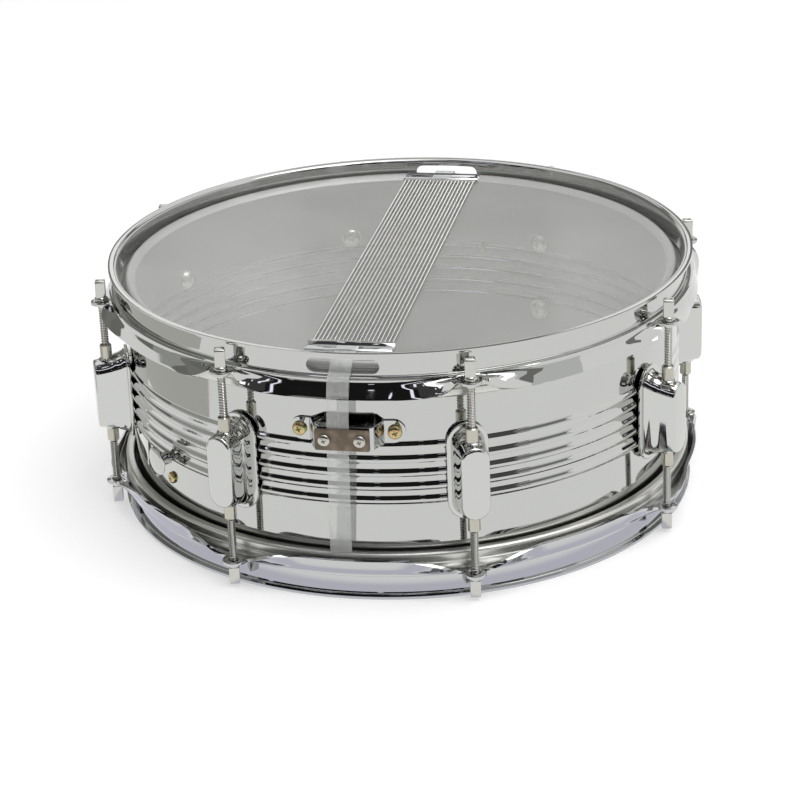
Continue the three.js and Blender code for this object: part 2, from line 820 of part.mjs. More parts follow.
// Strainer: base on the shell, carriage sliding between its cheeks, lever on a pin
const backPlateFace = lugBack + backPlateThickness;
const carriageBack = backPlateFace + contactGap;
const carriageFace = carriageBack + carriageDepth;
const cheekFace = backPlateFace + cheekDepth;
const cheekInner = backPlateHalfWidth - cheekThickness;
const leverAxisZ = backPlateBottom + leverAxisHeight;
const leverBack = carriageFace + leverClearance;
const leverAxisX = leverBack + leverThickness / 2;
const tensionAxisX = beadCrest + tensionKnobRadius + tensionKnobClearance;
const strainerClampZ = carriageTop - strainerClampHeight / 2;
const strainerStrapBack = carriageFace + contactGap;
const strainerClampBack = strainerStrapBack + strapThickness + contactGap;

function strainerBase() {
  const seat = lugBack;
  const half = [
    onCircle(seat, strainerEarHalfSpan),
    onCircle(seat, strainerScrewSpacing / 2),
    onCircle(seat, backPlateHalfWidth),
  ];
  const path = [...half, [seat, 0], ...half.map(([x, y]) => [x, -y]).reverse()].reverse();
  const [low, high] = [strainerZ - strainerEarHeight / 2, strainerZ + strainerEarHeight / 2];
  const ears = prismZ(polygon(sheet(path, backPlateThickness)), low, high);
  const back = [lugBack, backPlateFace];
  const rounding = prismX(
    stadium(strainerEarHeight, strainerEarHalfSpan * 2),
    shellInner - bracketFall,
    cheekFace,
  );
  const roundEars = ears.intersect(rounding.rotate([90, 0, 0]).translate([0, 0, strainerZ]));
  const plate = box(back, [-backPlateHalfWidth, backPlateHalfWidth], [backPlateBottom, backPlateTop]);
  const cheeks = [-1, 1].map((side) => {
    const ends = [side * cheekInner, side * backPlateHalfWidth].sort((a, b) => a - b);
    return box([lugBack, cheekFace], ends, [backPlateBottom, cheekTop]);
  });
  const shelfEnd = tensionAxisX + tensionKnobRadius / 2;
  const shelf = box(
    [lugBack, shelfEnd],
    [-backPlateHalfWidth, backPlateHalfWidth],
    [backPlateBottom, backPlateBottom + shelfThickness],
  );
  const knobHole = rodZ(
    tensionHole,
    backPlateBottom - overrun,
    backPlateBottom + shelfThickness + overrun,
    boreSides,
  ).translate([tensionAxisX, 0, 0]);
  const pinReach = backPlateHalfWidth + overrun;
  const pinHole = rodY(leverPinHole, -pinReach, pinReach, leverAxisX, leverAxisZ, boreSides);
  const fixingHoles = [-1, 1].map((side) => {
    const ends = [shellInner, seat + backPlateThickness + overrun];
    const hole = rodX(fixingHole, ...ends, 0, strainerZ, shaftSides);
    return turn(hole, side * offAngle(strainerScrewSpacing / 2));
  });
  return cut(union([roundEars, plate, ...cheeks, shelf]), [knobHole, pinHole, ...fixingHoles]);
}

function strainerCarriage() {
  const half = cheekInner - contactGap;
  const body = box([carriageBack, carriageFace], [-half, half], [carriageBottom, carriageTop]);
  const top = backPlateBottom + tensionScrewLength + overrun;
  const screwBore = rodZ(tensionHole, carriageBottom - overrun, top, boreSides);
  const clampHoles = [-1, 1].map((side) => {
    const y = (side * strainerClampScrewSpacing) / 2;
    const ends = [carriageBack - overrun, carriageFace + overrun];
    return rodX(clampHole, ...ends, y, strainerClampZ, shaftSides);
  });
  return cut(body, [screwBore.translate([tensionAxisX, 0, 0]), ...clampHoles]);
}

function strainerLever() {
  const half = leverHalfWidth;
  const top = leverAxisZ + leverLength;
  const front = leverBack + leverThickness;
  const arm = box([leverBack, front], [-half, half], [leverAxisZ, top]);
  const tab = box([leverBack, front + leverTab], [-half, half], [top - leverThickness, top]);
  const hub = rodY(leverHubRadius, -half, half, leverAxisX, leverAxisZ, hubSides);
  const bore = rodY(leverPinHole, -half - overrun, half + overrun, leverAxisX, leverAxisZ, boreSides);
  return union([arm, tab, hub]).subtract(bore);
}

function strainerPin() {
  const reach = backPlateHalfWidth + contactGap;
  const shank = rodY(leverPinRadius, -reach, reach, leverAxisX, leverAxisZ, shaftSides);
  const heads = [-1, 1].map((side) => {
    const ends = [side * reach, side * (reach + leverPinHeadLength)].sort((a, b) => a - b);
    return rodY(leverPinHeadRadius, ...ends, leverAxisX, leverAxisZ, boreSides);
  });
  return union([shank, ...heads]);
}

function tensionKnob() {
  const top = backPlateBottom - contactGap;
  const head = rodZ(tensionKnobRadius, top - tensionKnobHeight, top, boreSides);
  const ends = [top - tensionKnobHeight / 2, backPlateBottom + tensionScrewLength];
  const screw = rodZ(tensionScrewRadius, ...ends, shaftSides);
  return head.add(screw).translate([tensionAxisX, 0, 0]);
}

function strainerSide() {
  const frame = sideFrame(strainerAngle);
  place("strainer_base", strainerBase(), castChrome, frame);
  place("strainer_carriage", strainerCarriage(), castChrome, frame);
  const plate = clampPlate(
    strainerClampBack,
    strainerClampHalfWidth,
    strainerClampHeight,
    strainerClampZ,
    strainerClampScrewSpacing,
  );
  place("strainer_clamp_plate", plate, clampMetal, frame);
  const seat = strainerClampBack + clampThickness + contactGap;
  const ends = { left: -1, right: 1 };
  for (const [word, side] of Object.entries(ends)) {
    const y = (side * strainerClampScrewSpacing) / 2;
    const screw = clampScrew(seat).translate([0, y, strainerClampZ]);
    place(`strainer_clamp_screw_${word}`, screw, silverScrew, frame);
    const mount = fixingScrew(backPlateFace + seatGap).translate([0, 0, strainerZ]);
    const bearing = strainerAngle + side * offAngle(strainerScrewSpacing / 2);
    place(`strainer_mount_screw_${word}`, mount, zincScrew, sideFrame(bearing));
  }
  place("strainer_lever", strainerLever(), chrome, frame);
  place("strainer_lever_pin", strainerPin(), rodSteel, frame);
  place("strainer_tension_knob", tensionKnob(), castChrome, frame);
  place("snare_end_plate_strainer", endPlate(0), chrome, frame);
  const below = [
    [strainerStrapBack, carriageTop + overrun],
    [strainerStrapBack, carriageTop - strainerClampHeight],
  ];
  place("strainer_strap", strap(0, below), clearStrap, frame);
}

// Muffler: knob outside, bracket, arm and felt pad inside, over the batter head
const mufflerPlateOut = shellInner - contactGap - mufflerPlateSag;
const mufflerPlateIn = mufflerPlateOut - mufflerPlateThickness;
const mufflerPivotX = mufflerPlateIn - mufflerEarReach + mufflerPivotInset;
const mufflerPivotZ = mufflerZ - mufflerScrewDrop + mufflerPivotInset;
const mufflerScrewZ = mufflerZ - mufflerScrewDrop;
const armHalf = mufflerArmWidth / 2;

function mufflerKnob() {
  const stemFoot = beadCrest + contactGap;
  const discBack = stemFoot + mufflerStemLength;
  const shaftEnd = mufflerPlateIn - mufflerShaftTail;
  const shaft = rodX(mufflerShaftRadius, shaftEnd, stemFoot + overrun, 0, mufflerZ, shaftSides);
  const stem = rodX(mufflerStemRadius, stemFoot, discBack + contactGap, 0, mufflerZ, boreSides);
  const disc = rodX(mufflerDiscRadius, discBack, discBack + mufflerDiscThickness, 0, mufflerZ, discSides);
  return union([shaft, stem, disc]);
}

function mufflerBracket() {
  const half = mufflerPlateWidth / 2;
  const top = mufflerZ + mufflerPlateRise;
  const plate = box([mufflerPlateIn, mufflerPlateOut], [-half, half], [top - mufflerPlateHeight, top]);
  const ears = [-1, 1].map((side) => {
    const near = armHalf + contactGap;
    const ends = [side * near, side * (near + mufflerEarThickness)].sort((a, b) => a - b);
    const heights = [mufflerPivotZ - mufflerEarHeight / 2, mufflerPivotZ + mufflerEarHeight / 2];
    return box([mufflerPlateIn - mufflerEarReach, mufflerPlateOut], ends, heights);
  });
  const reach = half + overrun;
  const ends = [mufflerPlateIn - overrun, mufflerPlateOut + overrun];
  const pivotHole = holeRound(mufflerPivotRadius, rodClearance, boreSides);
  const holes = [
    rodY(pivotHole, -reach, reach, mufflerPivotX, mufflerPivotZ, boreSides),
    rodX(holeRound(mufflerShaftRadius, screwClearance, boreSides), ...ends, 0, mufflerZ, boreSides),
    rodX(clampHole, ...ends, 0, mufflerScrewZ, shaftSides),
  ];
  return cut(union([plate, ...ears]), holes);
}

// The arm falls from its pivot to a flat end over the pad
function mufflerArm() {
  const low = padTop + contactGap;
  const bend = mufflerPivotX - mufflerArmRun;
  const path = [
    [mufflerPivotX, mufflerPivotZ],
    [bend, low],
    [bend - padLength, low],
  ];
  const strip = prismY(polygon(sheet(path, mufflerArmThickness)), -armHalf, armHalf);
  const hub = rodY(mufflerHubRadius, -armHalf, armHalf, mufflerPivotX, mufflerPivotZ, boreSides);
  const reach = armHalf + mufflerEarThickness + contactGap * 2;
  const pin = rodY(mufflerPivotRadius, -reach, reach, mufflerPivotX, mufflerPivotZ, shaftSides);
  return union([strip, hub, pin]);
}

function mufflerPad() {
  const bend = mufflerPivotX - mufflerArmRun;
  return box([bend - padLength, bend], [-padWidth / 2, padWidth / 2], [padTop - padHeight, padTop]);
}

function muffler() {
  const frame = sideFrame(mufflerAngle);
  place("muffler_knob", mufflerKnob(), chrome, frame);
  place("muffler_bracket", mufflerBracket(), rodSteel, frame);
  place("muffler_arm", mufflerArm(), rodSteel, frame);
  place("muffler_pad", mufflerPad(), felt, frame);
  const screw = panScrew(
    shellRadius + contactGap,
    clampScrewHeadRadius,
    clampScrewHeadHeight,
    clampScrewRadius,
    fixingScrewLength,
  );
  place("muffler_screw", screw.translate([0, 0, mufflerScrewZ]), zincScrew, frame);
}

// Air vent: a flanged tube through the shell
function airVent() {
  const seat = beadCrest + contactGap;
  const tube = ventRadius + ventTubeWall;
  const profile = [
    [ventRadius, shellInner - ventTail],
    [tube, shellInner - ventTail],
    [tube, seat],
    [tube + ventFlange, seat],
    [tube + ventFlange, seat + ventFlangeThickness],
    [ventRadius, seat + ventFlangeThickness],
  ];
  const grommet = solid(latheZ(profile, discSides)).rotate([0, 90, 0]).translate([0, 0, midHeight]);
  place("air_vent_grommet", grommet, plastic, sideFrame(ventAngle));
}

shell();
hoops();
heads();
lugsAndRods();
snareWires();
buttSide();
strainerSide();
muffler();
airVent();

export default drum;
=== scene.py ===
import math
from contextlib import contextmanager

import bmesh
import bpy
from bpy.props import FloatProperty, FloatVectorProperty, IntProperty, PointerProperty
from mathutils import Matrix, Vector


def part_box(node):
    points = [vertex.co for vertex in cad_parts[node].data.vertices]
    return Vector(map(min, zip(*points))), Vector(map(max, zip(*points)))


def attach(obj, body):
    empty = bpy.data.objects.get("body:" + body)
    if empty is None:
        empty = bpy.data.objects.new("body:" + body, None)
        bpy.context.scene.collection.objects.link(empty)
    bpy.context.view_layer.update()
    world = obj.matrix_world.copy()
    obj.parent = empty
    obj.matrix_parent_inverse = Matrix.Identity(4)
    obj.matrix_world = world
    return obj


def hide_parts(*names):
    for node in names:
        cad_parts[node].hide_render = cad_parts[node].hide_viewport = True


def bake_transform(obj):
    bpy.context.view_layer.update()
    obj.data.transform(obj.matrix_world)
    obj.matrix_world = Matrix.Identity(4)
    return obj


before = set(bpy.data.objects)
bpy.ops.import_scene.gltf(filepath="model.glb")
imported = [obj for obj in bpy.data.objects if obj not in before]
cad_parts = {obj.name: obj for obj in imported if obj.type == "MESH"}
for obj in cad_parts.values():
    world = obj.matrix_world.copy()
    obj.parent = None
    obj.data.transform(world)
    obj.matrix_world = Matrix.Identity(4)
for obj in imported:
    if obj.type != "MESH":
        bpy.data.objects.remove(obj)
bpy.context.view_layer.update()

bl_info = {
    "name": "Snare drum",
    "version": (1, 0, 0),
    "blender": (4, 5, 0),
    "location": "3D View > Sidebar > Drum",
    "description": "Builds a chromed snare drum, snare side up, round its packed frame",
    "category": "Object",
}

# Sizes are metres. A bearing is the angle round the drum's axis, anticlockwise from +X, in degrees.
# Each fitting is made in a frame of its own, with +X out from the axis and +Y anticlockwise,
# and is then turned to its bearing.
mm = 0.001

# Bearings
lug_count = 8
bay = 360 / lug_count
butt_bearing = -2.5 * bay
strainer_bearing = 1.5 * bay
vent_bearing = 3.5 * bay
muffler_bearing = -156.5
front_bearing = -101

# Sizes that several pieces share
drum_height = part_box("snare_side_hoop")[1].z
mid_height = drum_height / 2
shell_radius = 177 * mm
shell_wall = 1.2 * mm
bead_height = 1.2 * mm
film_top = 149.1 * mm
rod_circle = 192 * mm
rod_radius = 2.6 * mm
ear_depth = 16 * mm
clamp_screw_spacing = 21 * mm
strap_width = 13 * mm
strap_thickness = 0.5 * mm
butt_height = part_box("butt_clamp_plate")[0].z / 2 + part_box("butt_clamp_plate")[1].z / 2


class ShellSizes(bpy.types.PropertyGroup):
    bead_count: IntProperty(name="Beads", description="Beads rolled into the shell", default=5, min=0)
    bead_pitch: FloatProperty(
        name="Bead pitch", description="Height from one bead to the next", default=8.7 * mm, unit="LENGTH"
    )
    bead_foot: FloatProperty(
        name="Bead foot", description="Half of the height that a bead covers", default=3.5 * mm, unit="LENGTH"
    )
    edge_inset: FloatProperty(
        name="Edge inset", description="How far the bearing edge lies inside the shell", default=2.6 * mm, unit="LENGTH"
    )
    edge_rise: FloatProperty(
        name="Edge rise", description="Height of the curve under a bearing edge", default=9 * mm, unit="LENGTH"
    )
    edge_height: FloatProperty(
        name="Edge height", description="Crest of the upper bearing edge", default=148.5 * mm, unit="LENGTH"
    )


class HoopSizes(bpy.types.PropertyGroup):
    steel: FloatProperty(name="Steel", description="Thickness of the hoop's sheet", default=1.8 * mm, unit="LENGTH")
    wall_radius: FloatProperty(
        name="Wall radius", description="Middle of the upright wall's sheet", default=181.3 * mm, unit="LENGTH"
    )
    lip_radius: FloatProperty(
        name="Lip radius", description="Outer edge of the rim's flange", default=186 * mm, unit="LENGTH"
    )
    skirt_radius: FloatProperty(
        name="Skirt radius", description="Middle of the skirt's sheet under the shoulder", default=185.5 * mm,
        unit="LENGTH",
    )
    skirt_depth: FloatProperty(
        name="Skirt depth", description="Rim plane to the skirt's edge, midway between ears", default=27 * mm,
        unit="LENGTH",
    )
    shoulder_depth: FloatProperty(
        name="Shoulder depth", description="Rim plane to the shoulder's middle", default=15.5 * mm, unit="LENGTH"
    )


class HeadSizes(bpy.types.PropertyGroup):
    film: FloatProperty(name="Film", description="Thickness of a drumhead's film", default=0.3 * mm, unit="LENGTH")
    flesh_inner: FloatProperty(
        name="Flesh hoop radius", description="Inner radius of a flesh hoop", default=179 * mm, unit="LENGTH"
    )
    flesh_width: FloatProperty(
        name="Flesh hoop width", description="Width of a flesh hoop's channel", default=5.4 * mm, unit="LENGTH"
    )
    flesh_height: FloatProperty(
        name="Flesh hoop height", description="Height of a flesh hoop's channel", default=12 * mm, unit="LENGTH"
    )
    flesh_top: FloatProperty(
        name="Flesh hoop top", description="Top of the upper flesh hoop", default=139.7 * mm, unit="LENGTH"
    )


class LugSizes(bpy.types.PropertyGroup):
    plate_width: FloatProperty(name="Plate width", description="Base plate's width", default=25 * mm, unit="LENGTH")
    plate_height: FloatProperty(name="Plate height", description="Base plate's height", default=62 * mm, unit="LENGTH")
    foot_width: FloatProperty(name="Foot width", description="Casing's width at its foot", default=20.5 * mm, unit="LENGTH")
    foot_height: FloatProperty(name="Foot height", description="Casing's height at its foot", default=57 * mm, unit="LENGTH")
    face_width: FloatProperty(name="Pad width", description="Width of the front pad", default=17.2 * mm, unit="LENGTH")
    face_height: FloatProperty(name="Pad height", description="Height of the front pad", default=46 * mm, unit="LENGTH")
    front: FloatProperty(name="Front", description="Front of the pad, from the drum's axis", default=200.9 * mm, unit="LENGTH")
    nut_span: FloatProperty(name="Nut span", description="Over the swivel nuts' outer ends", default=66 * mm, unit="LENGTH")
    nut_radius: FloatProperty(name="Nut radius", description="Radius of a swivel nut's collar", default=3.75 * mm, unit="LENGTH")


class RodSizes(bpy.types.PropertyGroup):
    head: FloatProperty(name="Head", description="Across the flats of the square head", default=6.4 * mm, unit="LENGTH")
    collar_radius: FloatProperty(name="Collar radius", description="Flange under the head", default=4.2 * mm, unit="LENGTH")
    collar_height: FloatProperty(name="Collar height", description="Flange's thickness", default=2.4 * mm, unit="LENGTH")
    thread_pitch: FloatProperty(name="Thread pitch", description="One turn of the thread", default=1.7 * mm, unit="LENGTH")
    thread_depth: FloatProperty(name="Thread depth", description="Depth of the thread", default=0.65 * mm, unit="LENGTH")
    tip: FloatProperty(name="Tip", description="Lower end of an upper rod", default=94.5 * mm, unit="LENGTH")
    thread_top: FloatProperty(name="Thread top", description="Where the thread of an upper rod ends", default=137 * mm, unit="LENGTH")


class SnareSizes(bpy.types.PropertyGroup):
    strands: IntProperty(name="Strands", description="Coiled strands", default=20, min=1)
    strand_pitch: FloatProperty(name="Strand spacing", description="From strand to strand", default=2.5 * mm, unit="LENGTH")
    coil_radius: FloatProperty(name="Coil radius", description="Outer radius of a strand", default=0.95 * mm, unit="LENGTH")
    wire_radius: FloatProperty(name="Wire radius", description="Radius of the coiled wire", default=0.3 * mm, unit="LENGTH")
    turn_pitch: FloatProperty(name="Turn pitch", description="One turn of a coil", default=1.8 * mm, unit="LENGTH")
    reach: FloatProperty(name="Reach", description="Strands' ends, from the axis", default=153 * mm, unit="LENGTH")
    plate_length: FloatProperty(name="End plate", description="End plate's length", default=12 * mm, unit="LENGTH")


class FinishColours(bpy.types.PropertyGroup):
    chrome: FloatVectorProperty(
        name="Chrome", description="Colour of the chromed steel", default=(0.57, 0.575, 0.56), subtype="COLOR"
    )
    hoop_chrome: FloatVectorProperty(
        name="Hoop chrome", description="Colour of the hoops' chrome", default=(0.565, 0.575, 0.575), subtype="COLOR"
    )
    nickel: FloatVectorProperty(
        name="Nickel", description="Colour of the swivel nuts", default=(0.56, 0.54, 0.47), subtype="COLOR"
    )
    zinc: FloatVectorProperty(
        name="Yellow zinc", description="Colour of the passivated screws", default=(0.62, 0.52, 0.26), subtype="COLOR"
    )
    clamp: FloatVectorProperty(
        name="Clamp plate", description="Colour of the worn clamp plate", default=(0.185, 0.145, 0.11), subtype="COLOR"
    )
    clear_film: FloatVectorProperty(
        name="Clear film", description="Haze of the snare-side head", default=(0.72, 0.72, 0.7), subtype="COLOR"
    )
    coated_film: FloatVectorProperty(
        name="Coated film", description="Coating of the batter head", default=(0.8, 0.8, 0.78), subtype="COLOR"
    )
    strap: FloatVectorProperty(
        name="Strap", description="Colour of the clear plastic straps", default=(0.93, 0.95, 0.92), subtype="COLOR"
    )


class StudioSettings(bpy.types.PropertyGroup):
    lens: FloatProperty(name="Lens", description="Focal length for a 36 mm sensor, millimetres", default=108.99)
    distance: FloatProperty(name="Distance", description="Camera to the drum's foot", default=1.6089, unit="LENGTH")
    bearing: FloatProperty(
        name="Bearing", description="Camera's azimuth", default=math.radians(-11.1), unit="ROTATION"
    )
    elevation: FloatProperty(
        name="Elevation", description="Camera's height as an angle", default=math.radians(23.154), unit="ROTATION"
    )
    roll: FloatProperty(name="Roll", description="Camera's roll", default=-0.037869, unit="ROTATION")
    slide: FloatProperty(name="Slide", description="Camera's offset to its right", default=-5.313 * mm, unit="LENGTH")
    rise: FloatProperty(name="Rise", description="Camera's offset upwards", default=45.359 * mm, unit="LENGTH")


# Modelling helpers


def alone(obj):
    """Makes obj the only selected object and the active one."""
    bpy.ops.object.select_all(action="DESELECT")
    obj.select_set(True)
    bpy.context.view_layer.objects.active = obj
    return obj


@contextmanager
def editing(obj, mode="VERT"):
    """Edit mode on obj, with nothing selected at first."""
    alone(obj)
    bpy.ops.object.mode_set(mode="EDIT")
    bpy.ops.mesh.select_mode(type=mode)
    bpy.ops.mesh.select_all(action="DESELECT")
    yield
    bpy.ops.object.mode_set(mode="OBJECT")


def middle(element):
    """The place of a vertex, or the middle of an edge or face."""
    if isinstance(element, bmesh.types.BMVert):
        return element.co
    places = [corner.co for corner in element.verts]
    return sum(places, Vector()) / len(places)


def pick(obj, kind, test):
    """Selects the verts, edges or faces of obj whose middle passes the test, in edit mode."""
    mesh = bmesh.from_edit_mesh(obj.data)
    bpy.ops.mesh.select_all(action="DESELECT")
    for element in getattr(mesh, kind):
        if test(middle(element)):
            element.select_set(True)
    bmesh.update_edit_mesh(obj.data)


def move(x=0.0, y=0.0, z=0.0):
    """Moves what is selected in edit mode."""
    bpy.ops.transform.translate(value=(x, y, z))


def extruded(x=0.0, y=0.0, z=0.0):
    """Extrudes what is selected in edit mode."""
    bpy.ops.mesh.extrude_region_move(TRANSFORM_OT_translate={"value": (x, y, z)})


def scaled(x, y, z, centre):
    """Scales what is selected in edit mode about a centre."""
    bpy.ops.transform.resize(value=(x, y, z), center_override=centre)


def named(obj, name):
    obj.name = name
    obj.data.name = name
    return obj


def fixed(obj):
    """Puts the object's place, turn and scale into its mesh."""
    alone(obj)
    bpy.ops.object.transform_apply(location=True, rotation=True, scale=True)
    return obj


def outward(obj):
    """Merges doubles and turns all faces outwards."""
    with editing(obj):
        bpy.ops.mesh.select_all(action="SELECT")
        bpy.ops.mesh.remove_doubles(threshold=1e-6)
        bpy.ops.mesh.normals_make_consistent(inside=False)
    return obj


def shaped(obj, kind, **settings):
    """Adds a modifier and applies it."""
    alone(obj)
    modifier = obj.modifiers.new(kind.lower(), kind)
    for key, value in settings.items():
        setattr(modifier, key, value)
    bpy.ops.object.modifier_apply(modifier=modifier.name)
    return obj


def softened(obj, width, segments=2, angle=35):
    """Rounds every edge that is sharper than an angle."""
    return shaped(
        obj, "BEVEL", width=width, segments=segments, limit_method="ANGLE",
        angle_limit=math.radians(angle), use_clamp_overlap=True, harden_normals=False,
    )


def smooth(obj, angle=32):
    alone(obj)
    bpy.ops.object.shade_smooth_by_angle(angle=math.radians(angle))
    return obj


def joined(name, pieces):
    """One object of several."""
    bpy.ops.object.select_all(action="DESELECT")
    for piece in pieces:
        piece.select_set(True)
    bpy.context.view_layer.objects.active = pieces[0]
    bpy.ops.object.join()
    return named(pieces[0], name)


def copied(obj, name, matrix):
    """A copy with its own mesh, moved in its mesh."""
    copy = obj.copy()
    copy.data = obj.data.copy()
    bpy.context.scene.collection.objects.link(copy)
    copy.data.transform(matrix)
    if matrix.determinant() < 0:
        copy.data.flip_normals()
    return named(copy, name)


def bearing_turn(degrees):
    return Matrix.Rotation(math.radians(degrees), 4, "Z")


def shift(x=0.0, y=0.0, z=0.0):
    return Matrix.Translation((x, y, z))


# A shape on the snare side, turned over to the batter side
upside_down = shift(z=drum_height) @ Matrix.Scale(-1, 4, (0, 0, 1))


def cut(obj, cutter, operation="DIFFERENCE"):
    """Cuts obj with another piece, which is used up."""
    shaped(obj, "BOOLEAN", object=cutter, operation=operation, solver="EXACT")
    bpy.data.objects.remove(cutter)
    return obj


def drawn(name, points, closed=False):
    """A line of vertices through the points, drawn by extruding from the first."""
    bpy.ops.object.select_all(action="DESELECT")
    bpy.ops.mesh.primitive_plane_add(size=mm, location=points[0])
    line = named(bpy.context.object, name)
    with editing(line):
        bpy.ops.mesh.select_all(action="SELECT")
        bpy.ops.mesh.merge(type="CENTER")
        for here, there in zip(points, points[1:]):
            extruded(*(Vector(there) - Vector(here)))
        if closed:
            mesh = bmesh.from_edit_mesh(line.data)
            for vertex in mesh.verts:
                vertex.select_set(len(vertex.link_edges) == 1)
            bmesh.update_edit_mesh(line.data)
            bpy.ops.mesh.edge_face_add()
    return fixed(line)


def turned(name, profile, steps, axis="Z", centre=(0, 0, 0), closed=True):
    """A profile of (radius, height along the axis), spun into a solid or an open wall."""
    place = {
        "X": lambda radius, along: (along, radius, 0),
        "Y": lambda radius, along: (radius, along, 0),
        "Z": lambda radius, along: (radius, 0, along),
    }[axis]
    direction = {"X": (1, 0, 0), "Y": (0, 1, 0), "Z": (0, 0, 1)}[axis]
    points = [Vector(place(*point)) + Vector(centre) for point in profile]
    on_axis = profile[0][0] == 0 and profile[-1][0] == 0
    body = drawn(name, points, closed and not on_axis)
    with editing(body):
        bpy.ops.mesh.select_all(action="SELECT")
        bpy.ops.mesh.spin(steps=steps, angle=2 * math.pi, center=centre, axis=direction)
    return outward(body)


def slab(name, outline, x=0.0, y=0.0, z=0.0):
    """A closed outline filled and extruded into a plate."""
    body = drawn(name, outline, closed=True)
    with editing(body):
        bpy.ops.mesh.select_all(action="SELECT")
        bpy.ops.mesh.edge_face_add()
        extruded(x, y, z)
    return outward(body)


def strip(name, path, width, thickness, across, facing, centred=False):
    """A strip of sheet: a middle line extruded across, then thickened on the side that it faces."""
    direction = Vector(across)
    body = drawn(name, [Vector(point) - direction * width / 2 for point in path])
    with editing(body, "EDGE"):
        bpy.ops.mesh.select_all(action="SELECT")
        extruded(*(direction * width))
    outward(body)
    if body.data.polygons[0].normal.dot(Vector(facing)) < 0:
        with editing(body):
            bpy.ops.mesh.select_all(action="SELECT")
            bpy.ops.mesh.flip_normals()
    return shaped(body, "SOLIDIFY", thickness=thickness, offset=0 if centred else 1, use_even_offset=True, use_rim=True)


def block(name, low, high):
    """A cuboid between two corners, ready to be shaped."""
    low, high = Vector(low), Vector(high)
    bpy.ops.object.select_all(action="DESELECT")
    bpy.ops.mesh.primitive_cube_add(size=1, location=(low + high) / 2, scale=high - low)
    return named(fixed(bpy.context.object), name)


def rod(name, radius, low, high, axis="Z", centre=(0, 0, 0), sides=32):
    """A round bar along an axis."""
    return turned(name, [(0, low), (radius, low), (radius, high), (0, high)], sides, axis, centre)


def arc(centre, radius, start, end, steps):
    """Points on an arc in the plane, from one angle to another in degrees."""
    angles = [math.radians(start + (end - start) * i / steps) for i in range(steps + 1)]
    return [(centre[0] + radius * math.cos(a), centre[1] + radius * math.sin(a)) for a in angles]


def rounded(points, radius, steps=4):
    """A path in the plane with its inner corners made round."""
    path = [points[0]]
    for before, corner, after in zip(points, points[1:], points[2:]):
        here = Vector(corner)
        back, ahead = Vector(before) - here, Vector(after) - here
        half = back.angle(ahead) / 2
        reach = min(radius / math.tan(half), back.length * 0.49, ahead.length * 0.49)
        first, last = here + back.normalized() * reach, here + ahead.normalized() * reach
        for i in range(steps + 1):
            t = i / steps
            path.append(tuple(first * (1 - t) ** 2 + here * 2 * t * (1 - t) + last * t**2))
    path.append(points[-1])
    return path


def stadium(width, height, steps=8):
    """The outline of a plate with round ends, taller than it is wide, as (across, up)."""
    rise = (height - width) / 2
    return arc((0, rise), width / 2, 0, 180, steps) + arc((0, -rise), width / 2, 180, 360, steps)


def upright(outline, x):
    """An outline of (across, up) as points on a plane that faces +X."""
    return [(x, across, up) for across, up in outline]


# Materials


def group(name, outputs, inputs):
    """A shader node group with its sockets."""
    tree = bpy.data.node_groups.new(name, "ShaderNodeTree")
    for label, kind, default in inputs:
        socket = tree.interface.new_socket(name=label, in_out="INPUT", socket_type=kind)
        if default is not None:
            socket.default_value = default
    for label, kind in outputs:
        tree.interface.new_socket(name=label, in_out="OUTPUT", socket_type=kind)
    return tree, tree.nodes.new("NodeGroupInput"), tree.nodes.new("NodeGroupOutput")


def number(tree, operation, *values):
    """A Math node with numbers or sockets as its inputs."""
    node = tree.nodes.new("ShaderNodeMath")
    node.operation = operation
    for socket, value in zip(node.inputs, values):
        if isinstance(value, (int, float)):
            socket.default_value = value
        else:
            tree.links.new(value, socket)
    return node.outputs[0]


def polish_group():
    """Smudges and wiping marks on bright metal, as a roughness."""
    tree, given, out = group(
        "Polish marks",
        [("Roughness", "NodeSocketFloat")],
        [
            ("Vector", "NodeSocketVector", None),
            ("Scale", "NodeSocketFloat", 30.0),
            ("Clean", "NodeSocketFloat", 0.03),
            ("Smudged", "NodeSocketFloat", 0.12),
        ],
    )
    noise = tree.nodes.new("ShaderNodeTexNoise")
    noise.inputs["Detail"].default_value = 6
    noise.inputs["Roughness"].default_value = 0.62
    tree.links.new(given.outputs["Vector"], noise.inputs["Vector"])
    tree.links.new(given.outputs["Scale"], noise.inputs["Scale"])
    spread = tree.nodes.new("ShaderNodeMapRange")
    spread.inputs["From Min"].default_value = 0.42
    spread.inputs["From Max"].default_value = 0.78
    tree.links.new(noise.outputs["Fac"], spread.inputs["Value"])
    tree.links.new(given.outputs["Clean"], spread.inputs["To Min"])
    tree.links.new(given.outputs["Smudged"], spread.inputs["To Max"])
    tree.links.new(spread.outputs["Result"], out.inputs["Roughness"])
    return tree


def grain_group():
    """Fine unevenness of a surface, as a height with two sizes of lump."""
    tree, given, out = group(
        "Surface grain",
        [("Height", "NodeSocketFloat")],
        [
            ("Vector", "NodeSocketVector", None),
            ("Coarse", "NodeSocketFloat", 40.0),
            ("Fine", "NodeSocketFloat", 900.0),
            ("Fine share", "NodeSocketFloat", 0.2),
        ],
    )
    heights = []
    for label in ("Coarse", "Fine"):
        noise = tree.nodes.new("ShaderNodeTexNoise")
        noise.inputs["Detail"].default_value = 2
        tree.links.new(given.outputs["Vector"], noise.inputs["Vector"])
        tree.links.new(given.outputs[label], noise.inputs["Scale"])
        heights.append(noise.outputs["Fac"])
    fine = number(tree, "MULTIPLY", heights[1], given.outputs["Fine share"])
    tree.links.new(number(tree, "ADD", heights[0], fine), out.inputs["Height"])
    return tree


